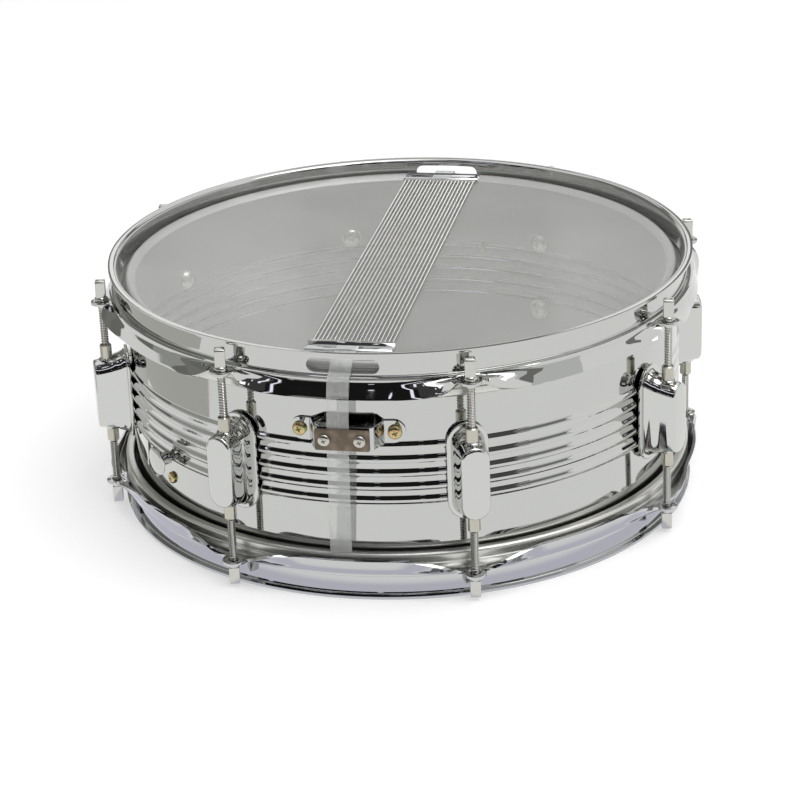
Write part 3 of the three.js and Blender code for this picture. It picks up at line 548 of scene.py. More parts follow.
def dust_group():
    """Dust and specks that gather in patches, as a mask."""
    tree, given, out = group(
        "Dust",
        [("Mask", "NodeSocketFloat")],
        [
            ("Vector", "NodeSocketVector", None),
            ("Speck scale", "NodeSocketFloat", 1400.0),
            ("Amount", "NodeSocketFloat", 0.5),
        ],
    )
    specks = tree.nodes.new("ShaderNodeTexVoronoi")
    patches = tree.nodes.new("ShaderNodeTexNoise")
    patches.inputs["Scale"].default_value = 18
    for node in (specks, patches):
        tree.links.new(given.outputs["Vector"], node.inputs["Vector"])
    tree.links.new(given.outputs["Speck scale"], specks.inputs["Scale"])
    near = number(tree, "LESS_THAN", specks.outputs["Distance"], 0.16)
    patch = number(tree, "MULTIPLY", patches.outputs["Fac"], given.outputs["Amount"])
    tree.links.new(number(tree, "MULTIPLY", near, patch), out.inputs["Mask"])
    return tree


def blank_material(name, colour, roughness, metallic=0.0):
    """A Principled material with its object coordinates."""
    made = bpy.data.materials.new(name)
    made.use_nodes = True
    shader = made.node_tree.nodes["Principled BSDF"]
    shader.inputs["Base Color"].default_value = (*colour, 1)
    shader.inputs["Roughness"].default_value = roughness
    shader.inputs["Metallic"].default_value = metallic
    place = made.node_tree.nodes.new("ShaderNodeTexCoord").outputs["Object"]
    return made, made.node_tree, shader, place


def placed_group(tree, made_group, vector, **values):
    """A node group in a material, with its own values."""
    node = tree.nodes.new("ShaderNodeGroup")
    node.node_tree = made_group
    tree.links.new(vector, node.inputs["Vector"])
    for key, value in values.items():
        node.inputs[key.replace("_", " ")].default_value = value
    return node


def bumped(tree, shader, height, distance, strength=1.0):
    bump = tree.nodes.new("ShaderNodeBump")
    bump.inputs["Distance"].default_value = distance
    bump.inputs["Strength"].default_value = strength
    tree.links.new(height, bump.inputs["Height"])
    tree.links.new(bump.outputs["Normal"], shader.inputs["Normal"])


def tinted(tree, shader, mask, plain, other):
    """Mixes two base colours by a mask."""
    mix = tree.nodes.new("ShaderNodeMix")
    mix.data_type = "RGBA"
    mix.inputs["A"].default_value = (*plain, 1)
    mix.inputs["B"].default_value = (*other, 1)
    tree.links.new(mask, mix.inputs["Factor"])
    tree.links.new(mix.outputs["Result"], shader.inputs["Base Color"])


def noise_mask(tree, vector, scale, low, high, detail=3.0):
    """A noise pattern spread between two levels."""
    noise = tree.nodes.new("ShaderNodeTexNoise")
    noise.inputs["Scale"].default_value = scale
    noise.inputs["Detail"].default_value = detail
    tree.links.new(vector, noise.inputs["Vector"])
    spread = tree.nodes.new("ShaderNodeMapRange")
    spread.inputs["From Min"].default_value = low
    spread.inputs["From Max"].default_value = high
    tree.links.new(noise.outputs["Fac"], spread.inputs["Value"])
    return spread.outputs["Result"]


def bright_metal(name, colour, clean, smudged, ripple, ripple_scale=35.0, dusty=0.35):
    """Plated metal: smudges, specks of dust and the slight ripple of formed sheet or casting."""
    made, tree, shader, place = blank_material(name, colour, clean, 1.0)
    marks = placed_group(tree, groups["polish"], place, Clean=clean, Smudged=smudged)
    dust = placed_group(tree, groups["dust"], place, Amount=dusty)
    tinted(tree, shader, dust.outputs["Mask"], colour, tuple(min(1.0, c * 0.78) for c in colour))
    rough = number(tree, "ADD", marks.outputs["Roughness"], number(tree, "MULTIPLY", dust.outputs["Mask"], 0.3))
    tree.links.new(rough, shader.inputs["Roughness"])
    grain = placed_group(tree, groups["grain"], place, Coarse=ripple_scale, Fine_share=0.01)
    bumped(tree, shader, grain.outputs["Height"], ripple)
    return made


def distance_out(tree, vector):
    """Distance from the drum's axis."""
    split = tree.nodes.new("ShaderNodeSeparateXYZ")
    tree.links.new(vector, split.inputs[0])
    squares = [number(tree, "MULTIPLY", split.outputs[axis], split.outputs[axis]) for axis in ("X", "Y")]
    return number(tree, "SQRT", number(tree, "ADD", *squares))


def shell_chrome(colour):
    """The shell's plating: bright outside, thin and satin inside."""
    made = bright_metal("shell_chrome", colour, 0.03, 0.1, 0.012 * mm)
    tree = made.node_tree
    shader = tree.nodes["Principled BSDF"]
    place = tree.nodes["Texture Coordinate"].outputs["Object"]
    inside = number(tree, "LESS_THAN", distance_out(tree, place), shell_radius - 0.6 * mm)
    bright = shader.inputs["Roughness"].links[0].from_socket
    tree.links.new(number(tree, "ADD", bright, number(tree, "MULTIPLY", inside, 0.46)), shader.inputs["Roughness"])
    return made


def lathe_lines(tree, vector, scale):
    """Coordinates that run round the drum, so that a noise draws out into brushed lines."""
    split = tree.nodes.new("ShaderNodeSeparateXYZ")
    tree.links.new(vector, split.inputs[0])
    across = number(
        tree, "SQRT",
        number(
            tree, "ADD",
            number(tree, "MULTIPLY", split.outputs["X"], split.outputs["X"]),
            number(tree, "MULTIPLY", split.outputs["Y"], split.outputs["Y"]),
        ),
    )
    along = number(tree, "MULTIPLY", number(tree, "ARCTAN2", split.outputs["Y"], split.outputs["X"]), 0.01)
    made = tree.nodes.new("ShaderNodeCombineXYZ")
    tree.links.new(number(tree, "MULTIPLY", across, scale), made.inputs["X"])
    tree.links.new(along, made.inputs["Y"])
    tree.links.new(number(tree, "MULTIPLY", split.outputs["Z"], scale), made.inputs["Z"])
    return made.outputs["Vector"]


def aluminium():
    """Dull extruded aluminium with drawing lines round the hoop."""
    made, tree, shader, place = blank_material("aluminium", (0.7, 0.69, 0.66), 0.34, 1.0)
    lines = noise_mask(tree, lathe_lines(tree, place, 10.0), 120.0, 0.3, 0.75)
    tinted(tree, shader, lines, (0.66, 0.65, 0.62), (0.84, 0.83, 0.8))
    rough = number(tree, "ADD", number(tree, "MULTIPLY", lines, 0.12), 0.3)
    tree.links.new(rough, shader.inputs["Roughness"])
    bumped(tree, shader, lines, 0.02 * mm)
    return made


def yellow_zinc(colour):
    """Passivated zinc, yellow with green and pink patches."""
    made, tree, shader, place = blank_material("zinc_screw", colour, 0.24, 1.0)
    ramp = tree.nodes.new("ShaderNodeValToRGB")
    ramp.color_ramp.elements[0].color = (0.42, 0.52, 0.2, 1)
    ramp.color_ramp.elements[1].color = (0.72, 0.3, 0.24, 1)
    gold = ramp.color_ramp.elements.new(0.5)
    gold.color = (*colour, 1)
    tree.links.new(noise_mask(tree, place, 420.0, 0.3, 0.7), ramp.inputs["Fac"])
    tree.links.new(ramp.outputs["Color"], shader.inputs["Base Color"])
    marks = placed_group(tree, groups["polish"], place, Scale=300.0, Clean=0.16, Smudged=0.42)
    tree.links.new(marks.outputs["Roughness"], shader.inputs["Roughness"])
    return made


def worn_clamp(colour):
    """The clamp plate's tarnished, sand-rough metal, brighter where it has been rubbed."""
    made, tree, shader, place = blank_material("clamp_metal", colour, 0.5, 0.75)
    rubbed = noise_mask(tree, place, 160.0, 0.45, 0.72, 6.0)
    tinted(tree, shader, rubbed, colour, tuple(c * 1.5 for c in colour))
    tree.links.new(number(tree, "ADD", number(tree, "MULTIPLY", rubbed, -0.12), 0.52), shader.inputs["Roughness"])
    grain = placed_group(tree, groups["grain"], place, Coarse=1500.0, Fine=4200.0, Fine_share=0.6)
    bumped(tree, shader, grain.outputs["Height"], 0.06 * mm)
    return made


def clear_film(colour):
    """Clear plastic film, hazy with wear and more so at a low angle."""
    made, tree, shader, place = blank_material("clear_film", colour, 0.14)
    facing = tree.nodes.new("ShaderNodeLayerWeight")
    facing.inputs["Blend"].default_value = 0.5
    haze = number(tree, "ADD", number(tree, "MULTIPLY", facing.outputs["Facing"], 0.3), 0.1)
    worn = noise_mask(tree, place, 9.0, 0.3, 0.8, 5.0)
    tree.links.new(number(tree, "ADD", haze, number(tree, "MULTIPLY", worn, 0.06)), shader.inputs["Alpha"])
    marks = placed_group(tree, groups["polish"], place, Scale=14.0, Clean=0.1, Smudged=0.3)
    tree.links.new(marks.outputs["Roughness"], shader.inputs["Roughness"])
    return made


def coated_film(colour):
    """White coated film with the coating's fine sandy grain."""
    made, tree, shader, place = blank_material("coated_film", colour, 0.62)
    shade = noise_mask(tree, place, 22.0, 0.3, 0.8, 4.0)
    tinted(tree, shader, shade, colour, tuple(c * 0.94 for c in colour))
    grain = placed_group(tree, groups["grain"], place, Coarse=900.0, Fine=3000.0, Fine_share=0.5)
    bumped(tree, shader, grain.outputs["Height"], 0.05 * mm)
    return made


def strap_plastic(colour):
    """Clear strap plastic, slightly milky, milkier at its edges' low angles."""
    made, tree, shader, place = blank_material("strap_plastic", colour, 0.2)
    shader.inputs["Specular IOR Level"].default_value = 0.8
    shader.inputs["Coat Weight"].default_value = 0.6
    facing = tree.nodes.new("ShaderNodeLayerWeight")
    facing.inputs["Blend"].default_value = 0.4
    tree.links.new(
        number(tree, "ADD", number(tree, "MULTIPLY", facing.outputs["Facing"], 0.5), 0.25),
        shader.inputs["Alpha"],
    )
    marks = placed_group(tree, groups["polish"], place, Scale=120.0, Clean=0.12, Smudged=0.34)
    tree.links.new(marks.outputs["Roughness"], shader.inputs["Roughness"])
    return made


def wool_felt():
    """Grey wool felt, matted and slightly lumpy."""
    made, tree, shader, place = blank_material("felt", (0.23, 0.22, 0.2), 0.95)
    shader.inputs["Sheen Weight"].default_value = 0.4
    fibres = noise_mask(tree, place, 1300.0, 0.3, 0.75, 6.0)
    tinted(tree, shader, fibres, (0.15, 0.145, 0.135), (0.34, 0.33, 0.3))
    bumped(tree, shader, fibres, 0.25 * mm)
    return made


def black_plastic():
    """Moulded black plastic with a fine matt texture."""
    made, tree, shader, place = blank_material("black_plastic", (0.018, 0.018, 0.02), 0.42)
    grain = placed_group(tree, groups["grain"], place, Coarse=1800.0, Fine=5200.0, Fine_share=0.5)
    bumped(tree, shader, grain.outputs["Height"], 0.03 * mm)
    marks = placed_group(tree, groups["polish"], place, Scale=160.0, Clean=0.36, Smudged=0.55)
    tree.links.new(marks.outputs["Roughness"], shader.inputs["Roughness"])
    return made


groups = {}
finishes = {}


def make_finishes(colours):
    """Builds the node groups and every material of the drum."""
    groups.update(polish=polish_group(), grain=grain_group(), dust=dust_group())
    chrome, hoop_chrome = tuple(colours.chrome), tuple(colours.hoop_chrome)
    nickel = tuple(colours.nickel)
    finishes.update(
        chrome=bright_metal("chrome", chrome, 0.03, 0.1, 0.012 * mm),
        shell_chrome=shell_chrome(chrome),
        hoop_chrome=bright_metal("hoop_chrome", hoop_chrome, 0.03, 0.09, 0.01 * mm),
        cast_chrome=bright_metal("cast_chrome", tuple(c * 1.08 for c in chrome), 0.03, 0.11, 0.012 * mm, 90.0),
        rod_steel=bright_metal("rod_steel", (0.6, 0.59, 0.56), 0.08, 0.2, 0.004 * mm, 300.0),
        nickel=bright_metal("nickel", nickel, 0.2, 0.42, 0.006 * mm, 300.0),
        silver_screw=bright_metal("silver_screw", (0.6, 0.58, 0.53), 0.16, 0.36, 0.004 * mm, 300.0),
        # A brighter copy of the silver screw finish. Its raised colour is a painted highlight for the lamps' glints on
        # the domed heads, which are seen through the film
        inside_screw=bright_metal("inside_screw", (0.95, 0.93, 0.88), 0.22, 0.36, 0.004 * mm, 300.0),
        snare_wire=bright_metal("snare_wire", (0.62, 0.62, 0.6), 0.16, 0.3, 0.002 * mm, 500.0, 0.2),
        aluminium=aluminium(),
        zinc_screw=yellow_zinc(tuple(colours.zinc)),
        clamp_metal=worn_clamp(tuple(colours.clamp)),
        clear_film=clear_film(tuple(colours.clear_film)),
        coated_film=coated_film(tuple(colours.coated_film)),
        strap_plastic=strap_plastic(tuple(colours.strap)),
        felt=wool_felt(),
        black_plastic=black_plastic(),
    )


def dressed(obj, finish, body="drum", stands_for=()):
    """Gives a finished piece its material, hides the packed parts that it stands for, and lets it ride on its body if
    it has one.
    """
    obj.data.materials.clear()
    obj.data.materials.append(finishes[finish])
    if body:
        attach(obj, body)
    if stands_for:
        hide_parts(*stands_for)
    return obj


# Shell


def shell_profile(sizes):
    """The shell's outer face from the lower bearing edge to the upper one, as (radius, height)."""
    crest, inset, rise = sizes.edge_height, sizes.edge_inset, sizes.edge_rise
    edge_lip, edge_fall = 5 * mm, 3 * mm
    steps = 8
    upper = []
    for i in range(steps + 1):
        t = math.radians(90 * i / steps)
        upper.append((shell_radius - inset * (1 - math.cos(t)), crest - rise * (1 - math.sin(t))))
    upper.append((shell_radius - inset - edge_lip * 0.3, crest - edge_fall * 0.1))
    upper.append((shell_radius - inset - edge_lip * 0.7, crest - edge_fall * 0.45))
    upper.append((shell_radius - inset - edge_lip, crest - edge_fall))
    lower = [(radius, drum_height - height) for radius, height in reversed(upper)]
    beads = []
    bead_steps = 10
    for i in range(sizes.bead_count):
        centre = mid_height + (i - (sizes.bead_count - 1) / 2) * sizes.bead_pitch
        for step in range(bead_steps + 1):
            offset = (2 * step / bead_steps - 1) * sizes.bead_foot
            swell = math.cos(math.pi / 2 * offset / sizes.bead_foot) ** 2
            beads.append((shell_radius + bead_height * swell, centre + offset))
    return lower + beads + upper


class DRUM_OT_shell(bpy.types.Operator):
    """Spins the beaded shell and bores its vent"""

    bl_idname = "drum.shell"
    bl_label = "Shell"

    def execute(self, context):
        shell = turned("beaded_shell", shell_profile(context.scene.drum_shell), 256, closed=False)
        shaped(shell, "SOLIDIFY", thickness=shell_wall, offset=-1, use_even_offset=True)
        bore = 6.5 * mm
        hole = rod("vent_bore", bore, shell_radius - 8 * mm, shell_radius + 4 * mm, "X", (0, 0, mid_height))
        hole.data.transform(bearing_turn(vent_bearing))
        cut(shell, hole)
        dressed(smooth(shell, 40), "shell_chrome", stands_for=["shell"])
        return {"FINISHED"}


# Hoops


def off_lug(bearing):
    """Degrees from a bearing to the nearest lug."""
    bays = bearing / bay
    return abs(bays - round(bays)) * bay


def skirt_edge(sizes, bearing):
    """The skirt's reach below the shoulder and its flare from upright, in radians, at a bearing.

    The skirt is full and nearly upright between lugs, and short and bent out flat at each ear."""
    full = sizes.skirt_depth - sizes.shoulder_depth
    off = off_lug(bearing)
    upright_tilt, flat_tilt, sweep, notch = 16.0, 86.0, 14.5, 3.2
    near = max(0.0, 1 - off / sweep)
    tilt = math.radians(upright_tilt + (flat_tilt - upright_tilt) * near**1.5)
    reach = full * (1 - 0.75 * math.exp(-((off / notch) ** 2)))
    return reach, tilt


def hoop_ear(sizes):
    """The flat ear that a tension rod passes through."""
    tip, half_width, thickness = 6.8 * mm, 8.6 * mm, 2 * mm
    root = sizes.skirt_radius - 1.2 * mm
    outline = [(root, -half_width)] + arc((rod_circle, 0), tip, -80, 80, 14) + [(root, half_width)]
    top = drum_height - ear_depth
    ear = slab("ear", [(x, y, top - thickness) for x, y in outline], z=thickness)
    cut(ear, rod("ear_bore", 3.1 * mm, top - 5 * mm, top + 5 * mm, centre=(rod_circle, 0, 0), sides=24))
    return softened(ear, 0.35 * mm)


def flared(ring, sizes, shoulder):
    """Bends the skirt out round the shoulder, a little between lugs and flat at each ear."""
    bend = shoulder - 0.6 * mm
    full = bend - (drum_height - sizes.skirt_depth)

    def target(vertex):
        bearing = math.degrees(math.atan2(vertex.co.y, vertex.co.x))
        reach, tilt = skirt_edge(sizes, bearing)
        share = shares[vertex.index]
        ease = tilt * min(1.0, share * 3.2)
        # The bend is tight at the shoulder, and the sheet below it is straight
        out = share * reach * math.sin(ease)
        return sizes.skirt_radius + out, bend - share * reach * math.cos(ease)

    shares = {v.index: (bend - v.co.z) / full for v in ring.data.vertices if v.co.z < bend - 0.01 * mm}
    # The spun sheet's normals face its axis, so the outward move runs against them
    for axis, span in (("NORMAL", -14 * mm), ("Z", 14 * mm)):
        weights = ring.vertex_groups.new(name="bend")
        for index in shares:
            vertex = ring.data.vertices[index]
            radius, height = target(vertex)
            short = height - vertex.co.z if axis == "Z" else radius - vertex.co.xy.length
            weights.add([index], max(0.0, min(1.0, short / abs(span))), "REPLACE")
        shaped(ring, "DISPLACE", vertex_group="bend", direction=axis, mid_level=0.0, strength=span)
        ring.vertex_groups.clear()


def hoop(name, sizes, gated):
    """A triple-flanged hoop on the snare side: rim flange, wall, shoulder and scalloped skirt."""
    half = sizes.steel / 2
    shoulder = drum_height - sizes.shoulder_depth
    skirt_foot = drum_height - sizes.skirt_depth
    rim = [
        (sizes.lip_radius - 0.2 * mm, drum_height - half),
        (sizes.wall_radius, drum_height - half),
        (sizes.wall_radius, shoulder),
        (sizes.skirt_radius, shoulder),
        (sizes.skirt_radius, skirt_foot),
    ]
    ring = turned(name, rounded(rim, 1.7 * mm, 6), 480, closed=False)
    skirt_rows = 8
    subdivided(ring, "Z", [shoulder - 1.7 * mm - (shoulder - skirt_foot) * i / skirt_rows for i in range(skirt_rows - 1)])
    flared(ring, sizes, shoulder)
    shaped(ring, "SOLIDIFY", thickness=sizes.steel, offset=0, use_even_offset=True)
    softened(ring, 0.75 * mm, 4, 60)
    if gated:
        for bearing in (butt_bearing, strainer_bearing):
            reach = sizes.wall_radius
            outline = [(x, across, up + drum_height - 9 * mm) for x, up, across in upright(stadium(8.8 * mm, 43 * mm), reach - 4 * mm)]
            slot = slab("gate", outline, x=8 * mm)
            slot.data.transform(bearing_turn(bearing))
            cut(ring, slot)
    ear = hoop_ear(sizes)
    ears = [copied(ear, f"ear_{i}", bearing_turn(i * bay)) for i in range(lug_count)]
    bpy.data.objects.remove(ear)
    return smooth(joined(name, [ring, *ears]), 40)


class DRUM_OT_hoops(bpy.types.Operator):
    """Rolls the two triple-flanged hoops, one with its snare gates"""

    bl_idname = "drum.hoops"
    bl_label = "Hoops"

    def execute(self, context):
        sizes = context.scene.drum_hoops
        upper = hoop("snare_side_rim", sizes, True)
        plain = hoop("plain_rim", sizes, False)
        lower = copied(plain, "batter_rim", upside_down)
        bpy.data.objects.remove(plain)
        dressed(upper, "chrome", stands_for=["snare_side_hoop"])
        dressed(lower, "hoop_chrome", stands_for=["batter_hoop"])
        return {"FINISHED"}


# Heads


def film(name, sizes):
    """The drawn film of a head, from its middle over the bearing edge to the flesh hoop."""
    top = film_top - sizes.film / 2
    crest = shell_radius - 2.4 * mm
    seat = sizes.flesh_top + 0.45 * mm
    inner = sizes.flesh_inner
    reflected_shade_ring = [0.02, 60 * mm, 120 * mm, 165 * mm]
    path = [(0, top)] + [(radius, top) for radius in reflected_shade_ring]
    path += rounded([(168 * mm, top), (crest, top), (inner + 0.7 * mm, seat), (inner + 5.1 * mm, seat)], 1.8 * mm, 5)
    head = turned(name, path, 192, closed=False)
    shaped(head, "SOLIDIFY", thickness=sizes.film, offset=0, use_even_offset=True)
    return smooth(head, 40)


def flesh_hoop(name, sizes):
    """The aluminium channel that holds a film's edge: a rounded lower lip and one groove."""
    inner, outer = sizes.flesh_inner, sizes.flesh_inner + sizes.flesh_width
    low, top = sizes.flesh_top - sizes.flesh_height, sizes.flesh_top
    round_over, groove = 2.2 * mm, 0.5 * mm
    corner = [(x, z) for x, z in arc((outer - round_over, low + round_over), round_over, -90, 0, 6)]
    profile = [(inner, low + 0.6 * mm), (inner + 0.6 * mm, low), *corner]
    profile += [
        (outer, low + 5.2 * mm), (outer - groove, low + 5.6 * mm), (outer - groove, low + 6.4 * mm),
        (outer, low + 6.8 * mm), (outer, top), (inner, top),
    ]
    ring = turned(name, profile, 256)
    return smooth(softened(ring, 0.2 * mm, 2, 30), 40)


class DRUM_OT_heads(bpy.types.Operator):
    """Makes both heads: the films and the flesh hoops that hold them"""

    bl_idname = "drum.heads"
    bl_label = "Heads"

    def execute(self, context):
        sizes = context.scene.drum_heads
        upper = film("snare_side_film", sizes)
        lower = copied(upper, "batter_film", upside_down)
        dressed(upper, "clear_film", stands_for=["snare_side_head_film"])
        dressed(lower, "coated_film", stands_for=["batter_head_film"])
        upper = flesh_hoop("snare_side_channel", sizes)
        lower = copied(upper, "batter_channel", upside_down)
        dressed(upper, "aluminium", stands_for=["snare_side_flesh_hoop"])
        dressed(lower, "aluminium", stands_for=["batter_flesh_hoop"])
        return {"FINISHED"}


# Screws


def phillips(name, place, radius, height, shank_radius, shank, inward=False):
    """A domed screw with a cross recess. Its head faces +X, or -X if it goes in from the inside."""
    crown = height * 0.45
    head = [(0, height)] + [(radius * f, height - crown * f**3) for f in (0.3, 0.55, 0.75, 0.9)]
    head += [(radius, height - crown * 1.25), (radius, 0), (shank_radius, 0), (shank_radius, -shank), (0, -shank)]
    screw = turned(name, head, 32, "X")
    arm, wide = radius * 0.52, radius * 0.11
    floor = height * 0.35
    for y, z in ((arm, wide), (wide, arm)):
        recess = block("recess", (floor, -y, -z), (height + mm, y, z))
        with editing(recess, "FACE"):
            pick(recess, "faces", lambda co: co.x < floor + 0.1 * mm)
            scaled(1, 0.55 if y > z else 0.8, 0.55 if z > y else 0.8, (0, 0, 0))
        cut(screw, recess)
    smooth(softened(screw, radius * 0.05, 1, 50), 40)
    turn = Matrix.Rotation(math.pi, 4, "Z") if inward else Matrix()
    screw.data.transform(Matrix.Translation(place) @ turn @ Matrix.Rotation(0.35, 4, "X"))
    return screw


# Lugs


def lug_casing(sizes):
    """The cast casing: a base plate, tapering mirror sides and a raised pad with round ends."""
    back, plate_front = 178.5 * mm, 180.5 * mm
    plate = slab("plate", upright(stadium(sizes.plate_width, sizes.plate_height, 14), back), x=plate_front - back)
    plate.data.transform(shift(z=mid_height))
    plate = softened(plate, 0.55 * mm, 3)
    wide, high = sizes.foot_width, sizes.foot_height
    pad_wide, pad_high = sizes.face_width, sizes.face_height
    x = plate_front - 0.3 * mm
    casing = slab("casing", upright(stadium(wide, high, 14), x), x=0.9 * mm)
    casing.data.transform(shift(z=mid_height))
    reflected_shade_ring = [
        (182.2 * mm, wide * 0.975, high * 0.965),
        (184.6 * mm, wide * 0.955, high * 0.93),
        (187.4 * mm, wide * 0.94, high * 0.90),
        (188.2 * mm, wide * 0.905, high * 0.875),
        (191.5 * mm, wide * 0.885, high * 0.853),
        (195.4 * mm, pad_wide * 1.03, pad_high * 1.02),
        (197.4 * mm, pad_wide * 1.02, pad_high * 1.008),
        (198.2 * mm, pad_wide, pad_high),
        (199.5 * mm, pad_wide * 0.985, pad_high * 0.994),
        (200.3 * mm, pad_wide * 0.94, pad_high * 0.975),
        (sizes.front - 0.2 * mm, pad_wide * 0.85, pad_high * 0.94),
        (sizes.front, pad_wide * 0.62, pad_high * 0.85),
    ]
    last = (x + 0.9 * mm, wide, high)
    with editing(casing, "FACE"):
        for ring in reflected_shade_ring:
            pick(casing, "faces", lambda co, at=last[0]: co.x > at - 0.01 * mm)
            extruded(x=ring[0] - last[0])
            scaled(1, ring[1] / last[1], ring[2] / last[2], (0, 0, mid_height))
            last = ring
    return plate, casing


def lug_nut(sizes):
    """A swivel nut's collar, standing out of a hollow shoulder at the casing's end."""
    top, root = sizes.nut_span / 2, sizes.foot_height * 0.36
    bore, outer = rod_radius + 0.1 * mm, sizes.nut_radius
    chamfer = 0.5 * mm
    seat = sizes.face_height / 2 + 1.2 * mm
    nut = [
        (bore, root), (outer, root), (outer, top - chamfer), (outer - chamfer, top), (bore + chamfer, top),
        (bore, top - chamfer),
    ]
    collar = [
        (outer - 0.4 * mm, root), (outer + 2.6 * mm, root), (outer + 2.2 * mm, seat - 2.6 * mm),
        (outer + 1.2 * mm, seat - 0.9 * mm), (outer + 0.45 * mm, seat), (outer - 0.4 * mm, seat),
    ]
    centre = (rod_circle, 0, mid_height)
    return turned("nut", nut, 32, centre=centre), turned("saddle", collar, 32, centre=centre)


class DRUM_OT_lugs(bpy.types.Operator):
    """Casts the eight double-ended lugs with their swivel nuts and inside screws"""

    bl_idname = "drum.lugs"
    bl_label = "Lugs"

    def execute(self, context):
        sizes = context.scene.drum_lugs
        plate, casing = lug_casing(sizes)
        nut, saddle = lug_nut(sizes)
        about_middle = shift(z=mid_height) @ Matrix.Scale(-1, 4, (0, 0, 1)) @ shift(z=-mid_height)
        body = joined("lug_body", [plate, outward(casing), saddle, copied(saddle, "lower_saddle", about_middle)])
        body = smooth(softened(body, 0.18 * mm, 2, 40), 38)
        nuts = smooth(joined("lug_nuts", [nut, copied(nut, "lower_nut", about_middle)]), 35)
        inside = shell_radius - shell_wall
        screws = []
        for height in (mid_height - 25 * mm, mid_height + 25 * mm):
            washer = turned(
                "washer",
                [(2.2 * mm, 0), (7 * mm, 0), (7 * mm, 0.6 * mm), (6.6 * mm, 0.8 * mm), (2.2 * mm, 0.8 * mm)],
                32, "X", (inside - 1.0 * mm, 0, height),
            )
            screws.append(washer)
            screws.append(phillips("screw", (inside - 1.0 * mm, 0, height), 5.8 * mm, 3 * mm, 2 * mm, 3 * mm, True))
        screws = smooth(joined("lug_screws", screws), 35)
        for i in range(lug_count):
            turn = bearing_turn(i * bay)
            dressed(copied(body, f"lug_body_{i + 1}", turn), "cast_chrome", stands_for=[f"lug_{i + 1}"])
            dressed(copied(nuts, f"lug_nuts_{i + 1}", turn), "nickel", stands_for=[f"lug_{i + 1}"])
            # The inside screws get the brightened finish, whose colour is a painted highlight
            dressed(
                copied(screws, f"lug_inside_screws_{i + 1}", turn), "inside_screw",
                stands_for=[f"lug_{i + 1}"],
            )
        for pattern in (body, nuts, screws):
            bpy.data.objects.remove(pattern)
        return {"FINISHED"}


# Tension rods


def tension_rod(sizes):
    """A square-headed rod: domed head, flange, plain shank and rolled thread."""
    head_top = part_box("snare_side_tension_rod_1")[1].z
    collar_low = drum_height - ear_depth + 0.3 * mm
    head_low = collar_low + sizes.collar_height
    half = sizes.head / 2
    head = block("head", (-half, -half, head_low - 0.3 * mm), (half, half, head_top - 0.7 * mm))
    with editing(head, "FACE"):
        pick(head, "faces", lambda co: co.z > head_top - mm)
        extruded(z=0.45 * mm)
        scaled(0.86, 0.86, 1, (0, 0, head_top))
        extruded(z=0.25 * mm)
        scaled(0.7, 0.7, 1, (0, 0, head_top))
    head = softened(head, 0.45 * mm, 3)
    outer = sizes.collar_radius
    flange = turned(
        "flange",
        [
            (0, collar_low), (outer - 0.3 * mm, collar_low), (outer, collar_low + 0.3 * mm),
            (outer, head_low - 0.9 * mm), (outer - 0.5 * mm, head_low - 0.35 * mm),
            (half + 0.2 * mm, head_low), (0, head_low),
        ],
        32,
    )
    shank = rod("shank", rod_radius, sizes.thread_top - 0.4 * mm, collar_low + 0.2 * mm, sides=24)
    core = rod("core", rod_radius - sizes.thread_depth * 0.9, sizes.tip, sizes.thread_top, sides=20)
    turns = round((sizes.thread_top - sizes.tip) / sizes.thread_pitch)
    root = rod_radius - sizes.thread_depth
    profile = [(root, 0, 0), (rod_radius, 0, sizes.thread_pitch / 2), (root, 0, sizes.thread_pitch)]
    thread = drawn("thread", profile)
    shaped(
        thread, "SCREW", angle=2 * math.pi, screw_offset=sizes.thread_pitch, iterations=turns, steps=12,
        render_steps=12, use_merge_vertices=True, use_smooth_shade=True,
    )
    thread.data.transform(shift(z=sizes.tip))
    outward(thread)
    made = smooth(joined("rod", [head, flange, shank, core, thread]), 50)
    made.data.transform(shift(x=rod_circle))
    return made


class DRUM_OT_rods(bpy.types.Operator):
    """Turns and threads the sixteen tension rods"""

    bl_idname = "drum.rods"
    bl_label = "Tension rods"

    def execute(self, context):
        pattern = tension_rod(context.scene.drum_rods)
        for side, flip in (("snare_side", Matrix()), ("batter", upside_down)):
            for i in range(lug_count):
                node = f"{side}_tension_rod_{i + 1}"
                # The square heads all stand nearly parallel to the front, whatever their lug's bearing
                own = Matrix.Rotation(math.radians(front_bearing - i * bay + 4 * math.sin(5 * i + 1)), 4, "Z")
                at_axis = shift(x=rod_circle) @ own @ shift(x=-rod_circle)
                made = copied(pattern, f"{side}_rod_{i + 1}", bearing_turn(i * bay) @ flip @ at_axis)
                dressed(made, "rod_steel", node, [node])
        bpy.data.objects.remove(pattern)
        return {"FINISHED"}


# Snare wires


